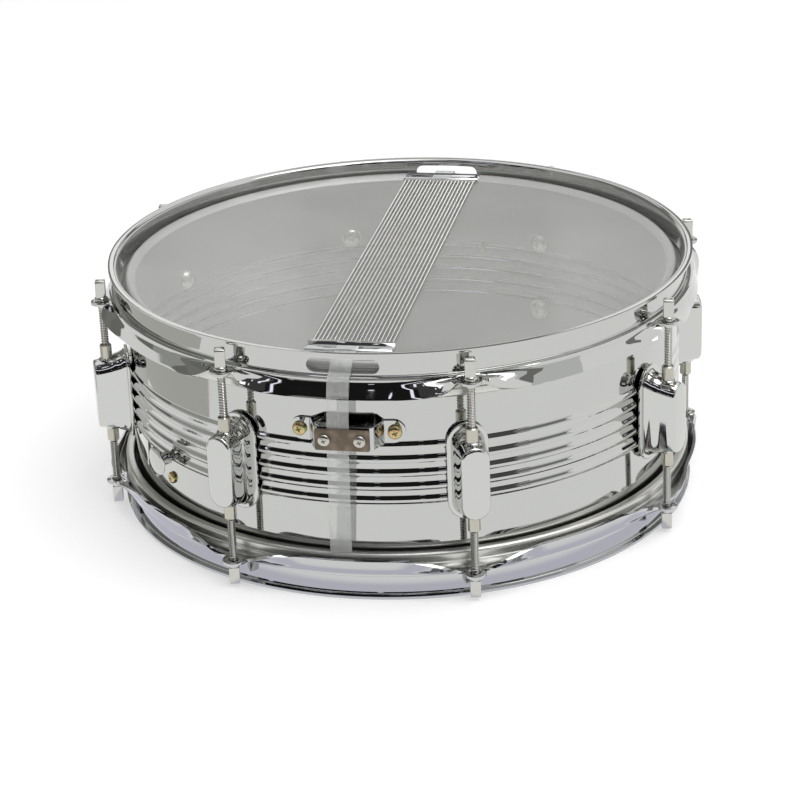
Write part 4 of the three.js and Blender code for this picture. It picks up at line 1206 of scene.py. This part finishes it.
class DRUM_OT_snares(bpy.types.Operator):
    """Coils the snare strands and folds the two end plates"""

    bl_idname = "drum.snares"
    bl_label = "Snare wires"

    def execute(self, context):
        sizes = context.scene.drum_snares
        low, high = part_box("snare_wires")
        height = (low.z + high.z) / 2
        turns = round(2 * sizes.reach / sizes.turn_pitch)
        ring = sizes.coil_radius - sizes.wire_radius
        section = [
            (0, 0, ring - sizes.wire_radius), (sizes.wire_radius, 0, ring), (0, 0, ring + sizes.wire_radius),
            (-sizes.wire_radius, 0, ring),
        ]
        strand = drawn("strand", section, closed=True)
        shaped(
            strand, "SCREW", axis="X", angle=2 * math.pi, screw_offset=2 * sizes.reach / turns, iterations=turns,
            steps=8, render_steps=8, use_smooth_shade=True,
        )
        outward(strand)
        with editing(strand):
            bpy.ops.mesh.select_non_manifold()
            bpy.ops.mesh.edge_face_add()
        strand.data.transform(shift(x=-sizes.reach))
        outward(strand)
        smooth(strand, 60)
        turn = bearing_turn(strainer_bearing)
        middle_strand = (sizes.strands - 1) / 2
        for i in range(sizes.strands):
            across = (i - middle_strand) * sizes.strand_pitch
            # Neighbouring coils start at different turns
            phase = Matrix.Rotation(2.4 * i, 4, "X")
            made = copied(strand, f"snare_strand_{i + 1}", turn @ shift(y=across, z=height) @ phase)
            dressed(made, "snare_wire", stands_for=["snare_wires"])
        bpy.data.objects.remove(strand)
        half = middle_strand * sizes.strand_pitch + 1.1 * mm
        for label, side in (("strainer", 1), ("butt", -1)):
            near, far = sizes.reach - 3 * mm, sizes.reach + 0.6 * mm
            bead = block(f"solder_{label}", (near, -half, height - 1.1 * mm), (far, half, height + 1.1 * mm))
            softened(bead, 0.6 * mm, 3)
            shaped(bead, "SUBSURF", levels=1, render_levels=1)
            bead.data.transform(turn @ Matrix.Rotation(0 if side > 0 else math.pi, 4, "Z"))
            dressed(smooth(bead), "snare_wire", stands_for=["snare_wires"])
        for label, bearing in (("strainer", strainer_bearing), ("butt", butt_bearing)):
            made = end_plate(f"end_plate_{label}", sizes, height)
            made.data.transform(bearing_turn(bearing))
            dressed(made, "hoop_chrome", stands_for=[f"snare_end_plate_{label}"])
        return {"FINISHED"}


def end_plate(name, sizes, height):
    """A folded end plate: a flat tongue with turned-up lips and a slot for the strap."""
    inner = sizes.reach + 0.45 * mm
    outer = inner + sizes.plate_length
    low, high = height - 1.05 * mm, height + 1.65 * mm
    half = 25.9 * mm
    sheet = 0.9 * mm
    section = [
        (inner, -half, low), (outer, -half, low), (outer, -half, high - 0.7 * mm), (outer - sheet, -half, high),
        (outer - 1.8 * sheet, -half, low + sheet), (inner + 2.4 * sheet, -half, low + sheet),
        (inner + sheet, -half, high), (inner, -half, high - 0.7 * mm),
    ]
    plate = slab(name, section, y=2 * half)
    slot = block("strap_slot", (inner + 3.6 * mm, -7.2 * mm, low - mm), (inner + 5.4 * mm, 7.2 * mm, high + mm))
    cut(plate, slot)
    for end in (-1, 1):
        corner = rod("corner", 1.6 * mm, low - mm, high + mm, centre=(outer - 3 * mm, end * (half - 3.2 * mm), 0), sides=20)
        cut(plate, corner)
    return smooth(softened(plate, 0.3 * mm, 2, 40), 40)


# Straps


def strap(name, path, sideways):
    """A plastic strap from its end plate over the bearing edge, through the gate and down."""
    points = [(x, sideways, z) for x, z in rounded(path, 4 * mm, 5)]
    facing = Vector((0, 0, 1))
    made = strip(name, points, strap_width, strap_thickness, (0, 1, 0), facing)
    return smooth(softened(made, 0.12 * mm, 1, 60), 50)


def leaning(slope, level):
    """A shear that moves everything under a level sideways, the more the lower it lies."""
    sheared = Matrix.Identity(4)
    sheared[1][2] = slope
    return shift(z=level) @ sheared @ shift(z=-level)


class DRUM_OT_straps(bpy.types.Operator):
    """Lays the two snare straps through their gates"""

    bl_idname = "drum.straps"
    bl_label = "Straps"

    def execute(self, context):
        gate_height = 148 * mm
        over = [
            (157.45, 150.55), (174.4, 150.55), (182.6, 144.0), (186.2, 142.8), (187.5, 141.6), (188.9, 134.9),
            (188.9, 130),
        ]
        routes = {
            "butt": (over + [(189.5, 113.4), (189.5, 97.0), (183.2, 29.7)], -1.5 * mm, butt_bearing),
            "strainer": (over + [(191.8, 114), (191.8, 101)], 0.0, strainer_bearing),
        }
        for label, (route, sideways, bearing) in routes.items():
            path = [(x * mm, z * mm) for x, z in route]
            made = strap(f"{label}_strap_strip", path, sideways)
            subdivided(made, "Z", [(90 + 2.5 * i) * mm for i in range(20)])
            turn = bearing_turn(bearing)
            moving = label == "strainer"
            if not moving:
                made.data.transform(leaning(0.034, gate_height))
            made.data.transform(turn)
            dressed(made, "strap_plastic", None if moving else "drum", [f"{label}_strap"])
            if moving:
                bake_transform(made)
        return {"FINISHED"}


def subdivided(obj, axis, places):
    """Cuts an object into slices at several heights."""
    normal = {"X": (1, 0, 0), "Y": (0, 1, 0), "Z": (0, 0, 1)}[axis]
    with editing(obj):
        for place in places:
            bpy.ops.mesh.select_all(action="SELECT")
            bpy.ops.mesh.bisect(plane_co=tuple(Vector(normal) * place), plane_no=normal)
    return obj


# Butt plate


def rounded_plate(name, low, high, corner, soft=0.4 * mm):
    """A plate facing +X between two corners, with rounded corners and soft edges."""
    plate = block(name, low, high)
    with editing(plate, "EDGE"):
        mesh = bmesh.from_edit_mesh(plate.data)
        for edge in mesh.edges:
            start, end = (corner_vertex.co for corner_vertex in edge.verts)
            edge.select_set(abs(start.x - end.x) > 1e-6)
        bmesh.update_edit_mesh(plate.data)
        bpy.ops.mesh.bevel(offset=corner, segments=6, affect="EDGES")
    return smooth(softened(plate, soft, 3), 40)


class DRUM_OT_butt(bpy.types.Operator):
    """Folds the butt plate's bracket and fits its clamp plate and screws"""

    bl_idname = "drum.butt"
    bl_label = "Butt plate"

    def execute(self, context):
        height = butt_height
        curve = 177.3 * mm
        half = [(math.sqrt(curve**2 - y**2), y) for y in (34.5 * mm, 28 * mm, 21 * mm)] + [(187.7 * mm, 16.5 * mm)]
        path = half + [(x, -y) for x, y in reversed(half)]
        points = [(x, y, height) for x, y in rounded(path, 2.2 * mm, 5)]
        bracket = strip("butt_bracket", points, 14 * mm, 1.5 * mm, (0, 0, 1), Vector((1, 0, 0)), centred=False)
        trim = slab(
            "trim", [(x, across, up + height) for x, up, across in upright(stadium(14 * mm, 69 * mm, 10), 170 * mm)],
            x=24 * mm,
        )
        cut(bracket, trim, "INTERSECT")
        softened(bracket, 0.35 * mm, 3, 40)
        bracket.data.transform(bearing_turn(butt_bearing))
        dressed(smooth(bracket, 40), "chrome", stands_for=["butt_plate_bracket"])
        low, high = Vector((190.3 * mm, -16.25 * mm, height - 6.5 * mm)), Vector((192.5 * mm, 16.25 * mm, height + 6.5 * mm))
        plate = rounded_plate("butt_clamp", low, high, 1.2 * mm)
        plate.data.transform(bearing_turn(butt_bearing))
        dressed(plate, "clamp_metal", stands_for=["butt_clamp_plate"])
        for label, side in (("left", -1), ("right", 1)):
            place = (192.6 * mm, side * clamp_screw_spacing / 2, height)
            screw = phillips(f"butt_screw_{label}", place, 3.7 * mm, 2 * mm, 1.5 * mm, 9 * mm)
            screw.data.transform(bearing_turn(butt_bearing))
            dressed(screw, "silver_screw", stands_for=[f"butt_clamp_screw_{label}"])
            along = side * math.degrees(math.asin(28 / 177.3))
            mount = phillips(f"butt_mount_{label}", (179.0 * mm, 0, height), 4.3 * mm, 2.6 * mm, 2 * mm, 8 * mm)
            mount.data.transform(bearing_turn(butt_bearing + along))
            dressed(mount, "zinc_screw", stands_for=[f"butt_mount_screw_{label}"])
        return {"FINISHED"}


# Strainer


class DRUM_OT_strainer(bpy.types.Operator):
    """Builds the strainer: base, sliding carriage, throw-off lever and tension knob"""

    bl_idname = "drum.strainer"
    bl_label = "Strainer"

    def execute(self, context):
        turn = bearing_turn(strainer_bearing)

        def place(obj, finish, slot, body, *nodes):
            obj.data.transform(turn)
            return dressed(obj, finish, body, nodes)

        curve = 178.5 * mm
        half = [(math.sqrt(curve**2 - y**2), y) for y in (32 * mm, 26 * mm, 20 * mm, 14.5 * mm)]
        path = half + [(x, -y) for x, y in reversed(half)]
        points = [(x, y, 94 * mm) for x, y in path]
        ears = strip("ears", points, 13 * mm, 2 * mm, (0, 0, 1), Vector((1, 0, 0)), centred=False)
        trim = slab(
            "trim",
            [(x, across, up + 94 * mm) for x, up, across in upright(stadium(13 * mm, 65 * mm, 10), 165 * mm)],
            x=30 * mm,
        )
        cut(ears, trim, "INTERSECT")
        softened(ears, 0.4 * mm, 3, 40)
        back = rounded_plate("back", (178.5 * mm, -14.5 * mm, 65 * mm), (180.5 * mm, 14.5 * mm, 112 * mm), 2.5 * mm)
        cheeks = []
        for side in (-1, 1):
            edge = sorted((side * 12.5 * mm, side * 14.5 * mm))
            outline = [(178.6, 65.2), (190, 65.2), (195.6, 68.4), (198, 73.5), (197.2, 79), (191.5, 90), (187.2, 99.8), (178.6, 99.8)]
            points = [(x * mm, edge[0], z * mm) for x, z in rounded(outline, 2.2 * mm, 4)]
            cheeks.append(softened(slab("cheek", points, y=edge[1] - edge[0]), 0.4 * mm, 3, 40))
        shelf = block("shelf", (178.7 * mm, -12.8 * mm, 65.1 * mm), (191.3 * mm, 12.8 * mm, 67.5 * mm))
        softened(shelf, 0.4 * mm, 3)
        boss = turned(
            "boss", [(2.2, 63.9), (6, 63.9), (6.4, 65.3), (2.2, 65.3)] and
            [(2.2 * mm, 64.9 * mm), (5.6 * mm, 64.9 * mm), (6.2 * mm, 66 * mm), (2.2 * mm, 66 * mm)],
            32, centre=(187.4 * mm, 0, 0),
        )
        base = smooth(joined("strainer_body", [ears, back, shelf, boss, *cheeks]), 40)
        place(base, "cast_chrome", "cast_chrome", "drum", "strainer_base")

        carriage = rounded_plate("slide_block", (180.8 * mm, -12.2 * mm, 80 * mm), (191.5 * mm, 12.2 * mm, 112 * mm), 1.6 * mm)
        for side in (-1, 1):
            groove = block(
                "groove", (183.6 * mm, side * 12.2 * mm - 0.8 * mm, 78 * mm), (186.8 * mm, side * 12.2 * mm + 0.8 * mm, 113 * mm)
            )
            cut(carriage, groove)
        softened(carriage, 0.2 * mm, 2, 60)
        place(smooth(carriage, 40), "cast_chrome", "cast_chrome", "strainer_slide", "strainer_carriage")
        clamp = rounded_plate("strainer_clamp", (192.6 * mm, -12 * mm, 101 * mm), (194.8 * mm, 12 * mm, 112 * mm), 1.2 * mm)
        place(clamp, "clamp_metal", "clamp_metal", "strainer_slide", "strainer_clamp_plate")
        for label, side in (("left", -1), ("right", 1)):
            screw = phillips(f"strainer_screw_{label}", (194.9 * mm, side * 9 * mm, 106.5 * mm), 3.5 * mm, 2 * mm, 1.5 * mm, 8 * mm)
            place(screw, "silver_screw", "silver_screw", "strainer_slide", f"strainer_clamp_screw_{label}")
            along = side * math.degrees(math.asin(26 / 178.5))
            mount = phillips(f"strainer_mount_{label}", (180.7 * mm, 0, 94 * mm), 4.3 * mm, 2.6 * mm, 2 * mm, 8 * mm)
            mount.data.transform(bearing_turn(along))
            place(mount, "zinc_screw", "zinc_screw", "drum", f"strainer_mount_screw_{label}")

        lever = strainer_lever()
        place(lever, "cast_chrome", "cast_chrome", "strainer_lever", "strainer_lever")
        reach = 14.8 * mm
        head = [(0, -reach - 1.2 * mm), (2.6 * mm, -reach - 1.2 * mm), (3.2 * mm, -reach - 0.6 * mm), (3.2 * mm, -reach)]
        shank = [(2 * mm, -reach), (2 * mm, reach)]
        tail = [(3.2 * mm, reach), (3.2 * mm, reach + 0.6 * mm), (2.6 * mm, reach + 1.2 * mm), (0, reach + 1.2 * mm)]
        pin = smooth(turned("lever_pin", head + shank + tail, 32, "Y", (194 * mm, 0, 74 * mm)), 35)
        place(pin, "rod_steel", "rod_steel", "drum", "strainer_lever_pin")
        knob = knurled_knob("tension_wheel", 8 * mm, 52.7 * mm, 64.7 * mm, 24)
        screw = rod("screw", 2 * mm, 60 * mm, 98.8 * mm, sides=24)
        knob = smooth(joined("tension_wheel", [knob, screw]), 40)
        knob.data.transform(shift(x=187.4 * mm))
        place(knob, "chrome", "chrome", "strainer_tension_knob", "strainer_tension_knob")
        return {"FINISHED"}


def strainer_lever():
    """The throw-off lever: a pressed blade with a hub at its foot and a thumb tab at its tip."""
    face = [
        (192.7, 76), (192.7, 93.6), (194, 94.9), (206.2, 95.6), (206.3, 97), (205.6, 97.5), (194.6, 97.5), (195.3, 96),
        (195.3, 76),
    ]
    outline = [(x * mm, -9.5 * mm, z * mm) for x, z in rounded(face, 1 * mm, 4)]
    blade = slab("blade", outline, y=19 * mm)
    hub = turned(
        "hub",
        [(2.1 * mm, -9.5 * mm), (4.2 * mm, -9.5 * mm), (4.2 * mm, 9.5 * mm), (2.1 * mm, 9.5 * mm)],
        32, "Y", (194 * mm, 0, 74 * mm),
    )
    cut(blade, hub, "UNION")
    return smooth(softened(blade, 0.35 * mm, 3, 40), 40)


def knurled_knob(name, radius, low, high, grips):
    """A knob with grip flutes round its edge, upright on the Z axis at the origin."""
    edge = 0.8 * mm
    knob = turned(
        name,
        [
            (0, low), (radius - 2 * edge, low), (radius - 0.4 * edge, low + edge), (radius, low + 2 * edge),
            (radius, high - 2 * edge), (radius - edge, high - edge * 0.3), (radius - 3 * edge, high), (0, high),
        ],
        96,
    )
    flute = rod("flute", radius * 0.075, low - mm, high + mm, centre=(radius, 0, 0), sides=10)
    flutes = [copied(flute, f"flute_{i}", bearing_turn(i * 360 / grips)) for i in range(grips)]
    bpy.data.objects.remove(flute)
    return cut(knob, joined("flutes", flutes))


# Muffler


class DRUM_OT_muffler(bpy.types.Operator):
    """Fits the internal muffler: knob, bracket, arm, felt pad and screw"""

    bl_idname = "drum.muffler"
    bl_label = "Muffler"

    def execute(self, context):
        turn = bearing_turn(muffler_bearing)

        def place(obj, finish, slot, body, *nodes):
            obj.data.transform(turn)
            return dressed(obj, finish, body, nodes)

        height = 60.5 * mm
        dome = [
            (0, 188.7), (4.5, 188.6), (7.4, 188.2), (8.8, 187.7), (9.2, 187.2), (9.2, 186.8), (8.7, 186.5), (4.6, 186.5),
            (4.0, 186.0), (4.0, 178.5), (2.5, 178.5), (2.5, 168.7), (0, 168.7),
        ]
        knob = turned("muffler_disc", [(r * mm, x * mm) for r, x in dome], 64, "X", (0, 0, height))
        place(smooth(softened(knob, 0.2 * mm, 2, 50), 35), "chrome", "chrome", "muffler_knob", "muffler_knob")
        screw = phillips("muffler_fixing", (177.2 * mm, 0, 46.3 * mm), 3.7 * mm, 2 * mm, 1.6 * mm, 6 * mm)
        place(screw, "zinc_screw", "zinc_screw", "drum", "muffler_screw")

        plate = rounded_plate("plate", (173.2 * mm, -11 * mm, 38 * mm), (174.7 * mm, 11 * mm, 68 * mm), 2.5 * mm)
        bores = rod("bore", 2.9 * mm, 170 * mm, 178 * mm, "X", (0, 0, height), 24)
        cut(plate, bores)
        pieces = [plate]
        for side in (-1, 1):
            edge = sorted((side * 6.8 * mm, side * 8.3 * mm))
            tip = arc((164.2 * mm, 50.3 * mm), 4 * mm, 100, 260, 8)
            outline = [(174.6 * mm, 44.4 * mm), (174.6 * mm, 56.2 * mm)] + tip
            points = [(x, edge[0], z) for x, z in outline]
            pieces.append(softened(slab("ear", points, y=edge[1] - edge[0]), 0.3 * mm, 2, 40))
        bracket = smooth(joined("muffler_mount", pieces), 40)
        place(bracket, "rod_steel", "rod_steel", "drum", "muffler_bracket")

        bends = [(164.2 * mm, 50.3 * mm), (138.2 * mm, 26.3 * mm), (110.2 * mm, 26.3 * mm)]
        points = [(x, 0, z) for x, z in rounded(bends, 6 * mm, 5)]
        arm = strip("arm", points, 13 * mm, 1.6 * mm, (0, 1, 0), Vector((0, 0, 1)), centred=True)
        softened(arm, 0.3 * mm, 2, 50)
        hub = rod("hub", 3.4 * mm, -6.4 * mm, 6.4 * mm, "Y", (164.2 * mm, 0, 50.3 * mm), 28)
        pin = rod("pin", 1.8 * mm, -8.6 * mm, 8.6 * mm, "Y", (164.2 * mm, 0, 50.3 * mm), 24)
        arm = smooth(joined("muffler_spring_arm", [arm, softened(hub, 0.3 * mm), softened(pin, 0.2 * mm)]), 40)
        place(arm, "rod_steel", "rod_steel", "muffler_arm", "muffler_arm")

        pad = block("felt_pad", (110.4 * mm, -21.8 * mm, 17.2 * mm), (138 * mm, 21.8 * mm, 25.8 * mm))
        softened(pad, 1.6 * mm, 3)
        with editing(pad):
            bpy.ops.mesh.select_all(action="SELECT")
            bpy.ops.mesh.subdivide(number_cuts=5)
        place(smooth(pad, 60), "felt", "felt", "muffler_arm", "muffler_pad")
        return {"FINISHED"}


class DRUM_OT_vent(bpy.types.Operator):
    """Sets the grommet in the air vent"""

    bl_idname = "drum.vent"
    bl_label = "Air vent"

    def execute(self, context):
        profile = [
            (5, 173.9), (6.1, 173.9), (6.3, 174.4), (6.3, 178.4), (8.9, 178.4), (9.3, 178.7), (9.3, 179.1), (8.6, 179.7),
            (6.6, 179.9), (5.5, 179.5), (5, 178.8),
        ]
        grommet = turned("vent_ring", [(r * mm, x * mm) for r, x in profile], 48, "X", (0, 0, mid_height))
        softened(grommet, 0.15 * mm, 2, 40)
        grommet.data.transform(bearing_turn(vent_bearing))
        dressed(smooth(grommet, 40), "black_plastic", stands_for=["air_vent_grommet"])
        return {"FINISHED"}


# Studio


def emission(name, strength, colour=(1, 1, 1)):
    made = bpy.data.materials.new(name)
    made.use_nodes = True
    nodes = made.node_tree.nodes
    nodes.clear()
    light = nodes.new("ShaderNodeEmission")
    light.inputs["Color"].default_value = (*colour, 1)
    light.inputs["Strength"].default_value = strength
    out = nodes.new("ShaderNodeOutputMaterial")
    made.node_tree.links.new(light.outputs[0], out.inputs["Surface"])
    return made


def card(name, bearing, spread, low, high, distance, strength, colour=(1, 1, 1)):
    """A curved card round the drum that only its reflections see. Angles are degrees."""
    steps = max(2, round(spread / 6))
    path = arc((0, 0), distance, bearing - spread / 2, bearing + spread / 2, steps)
    heights = [distance * math.tan(math.radians(angle)) + mid_height for angle in (low, high)]
    made = drawn(name, [(x, y, heights[0]) for x, y in path])
    with editing(made, "EDGE"):
        bpy.ops.mesh.select_all(action="SELECT")
        extruded(z=heights[1] - heights[0])
    made.data.materials.append(emission(name, strength, colour))
    made.visible_camera = False
    made.visible_diffuse = False
    made.visible_shadow = False
    return made


def studio_floor():
    """The pale floor: white to the camera, with the drum's shadow. In the chrome it is painted instead of lit: plain
    white, with painted shade round the drum, grey under the rim and faintly violet just outside it, standing for the
    drum's contact shadow in the lamps' light."""
    bpy.ops.object.select_all(action="DESELECT")
    bpy.ops.mesh.primitive_plane_add(size=14, location=(0, 0, 0))
    floor = named(bpy.context.object, "floor")
    made, tree, shader, place = blank_material("studio_floor", (0.8, 0.8, 0.8), 0.9)
    shader.inputs["Specular IOR Level"].default_value = 0.0
    light_path = tree.nodes.new("ShaderNodeLightPath")
    glossy, seen = light_path.outputs["Is Glossy Ray"], light_path.outputs["Is Camera Ray"]
    through = number(tree, "ADD", seen, light_path.outputs["Is Transmission Ray"])
    shader.inputs["Emission Color"].default_value = (1, 1, 1, 1)
    tree.links.new(number(tree, "MULTIPLY", through, 0.42), shader.inputs["Emission Strength"])
    # What the chrome sees of the floor is painted, not lit: grey under the rim, a band of painted violet shade just
    # outside it for the drum's contact shadow, and white beyond
    span = tree.nodes.new("ShaderNodeMapRange")
    span.inputs["From Min"].default_value = 185 * mm
    span.inputs["From Max"].default_value = 205 * mm
    tree.links.new(distance_out(tree, place), span.inputs["Value"])
    reflected_shade_ring = tree.nodes.new("ShaderNodeValToRGB")
    reflected_shade_ring.color_ramp.elements[0].color = (0.9, 0.9, 0.89, 1)
    reflected_shade_ring.color_ramp.elements[1].color = (0.97, 0.975, 0.965, 1)
    for position in (0.25, 0.6):
        violet_shade_stop = reflected_shade_ring.color_ramp.elements.new(position)
        violet_shade_stop.color = (0.7, 0.69, 0.79, 1)
    reflected_shade_ring.color_ramp.elements[3].position = 0.82
    tree.links.new(span.outputs["Result"], reflected_shade_ring.inputs["Fac"])
    # Glossy rays see this painted floor reflection in place of the lit floor
    painted_floor_reflection = tree.nodes.new("ShaderNodeEmission")
    tree.links.new(reflected_shade_ring.outputs["Color"], painted_floor_reflection.inputs["Color"])
    either = tree.nodes.new("ShaderNodeMixShader")
    tree.links.new(glossy, either.inputs[0])
    tree.links.new(shader.outputs[0], either.inputs[1])
    tree.links.new(painted_floor_reflection.outputs[0], either.inputs[2])
    tree.links.new(either.outputs[0], tree.nodes["Material Output"].inputs["Surface"])
    floor.data.materials.append(made)


def studio_world():
    """White behind the drum and in its reflections, and a plain soft level of light elsewhere."""
    world = bpy.data.worlds.new("studio")
    bpy.context.scene.world = world
    world.use_nodes = True
    tree = world.node_tree
    background = tree.nodes["Background"]
    background.inputs["Color"].default_value = (1, 1, 1, 1)
    light_path = tree.nodes.new("ShaderNodeLightPath")
    seen = number(tree, "ADD", light_path.outputs["Is Camera Ray"], light_path.outputs["Is Glossy Ray"])
    seen = number(tree, "ADD", seen, light_path.outputs["Is Transmission Ray"])
    seen = number(tree, "MINIMUM", seen, 1.0)
    level = number(tree, "ADD", number(tree, "MULTIPLY", seen, 0.45), 0.55)
    tree.links.new(level, background.inputs["Strength"])


def softbox(name, place, size, watts):
    """An area lamp aimed at the drum's middle."""
    bpy.ops.object.select_all(action="DESELECT")
    bpy.ops.object.light_add(type="AREA", location=place)
    lamp = bpy.context.object
    lamp.name = name
    lamp.data.shape = "SQUARE"
    lamp.data.size = size
    lamp.data.energy = watts
    aim = Vector((0, 0, mid_height)) - Vector(place)
    lamp.rotation_euler = aim.to_track_quat("-Z", "Y").to_euler()


def camera(settings):
    azimuth, elevation, roll = settings.bearing, settings.elevation, settings.roll
    back = Vector((
        math.sin(azimuth) * math.cos(elevation), -math.cos(azimuth) * math.cos(elevation), math.sin(elevation)
    ))
    right = Vector((math.cos(azimuth), math.sin(azimuth), 0))
    up = back.cross(right)
    level = Matrix((right, up, back)).transposed().to_4x4()
    tilt = level @ Matrix.Rotation(roll, 4, "Z")
    offset = tilt @ Vector((settings.slide, settings.rise, 0))
    bpy.ops.object.select_all(action="DESELECT")
    bpy.ops.object.camera_add(location=(0, 0, 0))
    made = bpy.context.object
    made.name = "studio_camera"
    made.matrix_world = Matrix.Translation(back * settings.distance + offset) @ tilt
    made.data.lens = settings.lens
    made.data.sensor_width = 36
    made.data.clip_end = 50
    bpy.context.scene.camera = made


class DRUM_OT_studio(bpy.types.Operator):
    """Sets up the floor, lamps, reflection cards and camera"""

    bl_idname = "drum.studio"
    bl_label = "Studio"

    def execute(self, context):
        settings = context.scene.drum_studio
        context.scene.view_settings.view_transform = "Standard"
        camera(settings)
        studio_floor()
        studio_world()
        softbox("overhead", (0.5, -0.6, 2.4), 1.8, 26)
        front = math.degrees(settings.bearing) - 90
        dark, olive, dim = (0.012, 0.013, 0.012), (0.2, 0.205, 0.19), (0.4, 0.41, 0.39)
        card("dark_room", front - 23, 90, -1.4, 40, 3.0, 1.0, dark)
        card("dark_ceiling", front - 23, 90, 40, 80, 3.0, 1.0, (0.06, 0.062, 0.06))
        card("dim_wall_left", front - 86, 36, -1.3, 55, 3.1, 1.0, dim)
        card("olive_wall_left", front - 128, 48, -1.3, 50, 3.1, 1.0, olive)
        card("back_wall", front + 180, 200, 17, 31, 3.0, 1.0, (0.24, 0.24, 0.23))
        card("back_window_left", front + 180 + 8, 9, 19, 28, 2.95, 1.2)
        card("back_window_right", front + 180 - 9, 6, 20, 27, 2.95, 1.2)
        card("low_grey_left", front - 47, 46, 0.5, 6, 2.95, 1.0, (0.3, 0.3, 0.29))
        card("pale_wall_right", front + 44, 44, -1.3, 50, 3.1, 0.7, (0.97, 1.0, 0.98))
        card("low_dark_right", front + 34, 26, -1.4, 7.5, 3.0, 1.0, (0.02, 0.021, 0.02))
        card("dark_door_right", front + 36, 13, 7.5, 26, 3.0, 1.0, (0.09, 0.09, 0.085))
        card("grey_band_right", front + 48, 34, 14, 31, 3.05, 1.0, (0.22, 0.22, 0.21))
        card("grey_sheet_left", front - 108, 80, -11, -3, 0.4, 1.0, (0.56, 0.555, 0.53))
        # Each lamp: bearing from the front, lower and upper edge, and width, in degrees
        lamps = [
            (-62, 5, 8, 3), (-55, 11, 13, 2), (-58, 17, 20, 3), (-40, 7, 9, 2), (-12, 10, 12, 2), (5, 6, 9, 2),
            (13, 12, 15, 3), (17, 4, 6, 2), (-22, 29, 33, 62), (-46, 47, 52, 14), (-2, 47, 52, 18), (-50, 61, 63, 7),
            (-34, 66, 68, 8), (-12, 64, 66, 7), (8, 60, 62, 7),
        ]
        for i, (off, low, high, wide) in enumerate(lamps):
            card(f"lamp_{i + 1}", front + off, wide, low, high, 2.9, 1.5, (0.88, 0.86, 1.0))
        return {"FINISHED"}


class DRUM_OT_finishes(bpy.types.Operator):
    """Mixes every finish of the drum"""

    bl_idname = "drum.finishes"
    bl_label = "Finishes"

    def execute(self, context):
        make_finishes(context.scene.drum_finishes)
        return {"FINISHED"}


steps = (
    DRUM_OT_finishes,
    DRUM_OT_studio,
    DRUM_OT_shell,
    DRUM_OT_heads,
    DRUM_OT_hoops,
    DRUM_OT_lugs,
    DRUM_OT_rods,
    DRUM_OT_snares,
    DRUM_OT_straps,
    DRUM_OT_butt,
    DRUM_OT_strainer,
    DRUM_OT_muffler,
    DRUM_OT_vent,
)

settings = {
    "drum_shell": ShellSizes,
    "drum_hoops": HoopSizes,
    "drum_heads": HeadSizes,
    "drum_lugs": LugSizes,
    "drum_rods": RodSizes,
    "drum_snares": SnareSizes,
    "drum_finishes": FinishColours,
    "drum_studio": StudioSettings,
}


class DRUM_PT_build(bpy.types.Panel):
    """Lists the drum's pieces in the order they are made"""

    bl_idname = "DRUM_PT_build"
    bl_label = "Drum"
    bl_space_type = "VIEW_3D"
    bl_region_type = "UI"
    bl_category = "Drum"

    def draw(self, context):
        for step in steps:
            self.layout.operator(step.bl_idname)


def register():
    for made in (*settings.values(), *steps, DRUM_PT_build):
        bpy.utils.register_class(made)
    for name, made in settings.items():
        setattr(bpy.types.Scene, name, PointerProperty(type=made))


def unregister():
    for name in settings:
        delattr(bpy.types.Scene, name)
    for made in (DRUM_PT_build, *reversed(steps), *reversed(list(settings.values()))):
        bpy.utils.unregister_class(made)


def main():
    register()
    for step in steps:
        category, name = step.bl_idname.split(".")
        getattr(getattr(bpy.ops, category), name)()


if __name__ == "__main__":
    main()
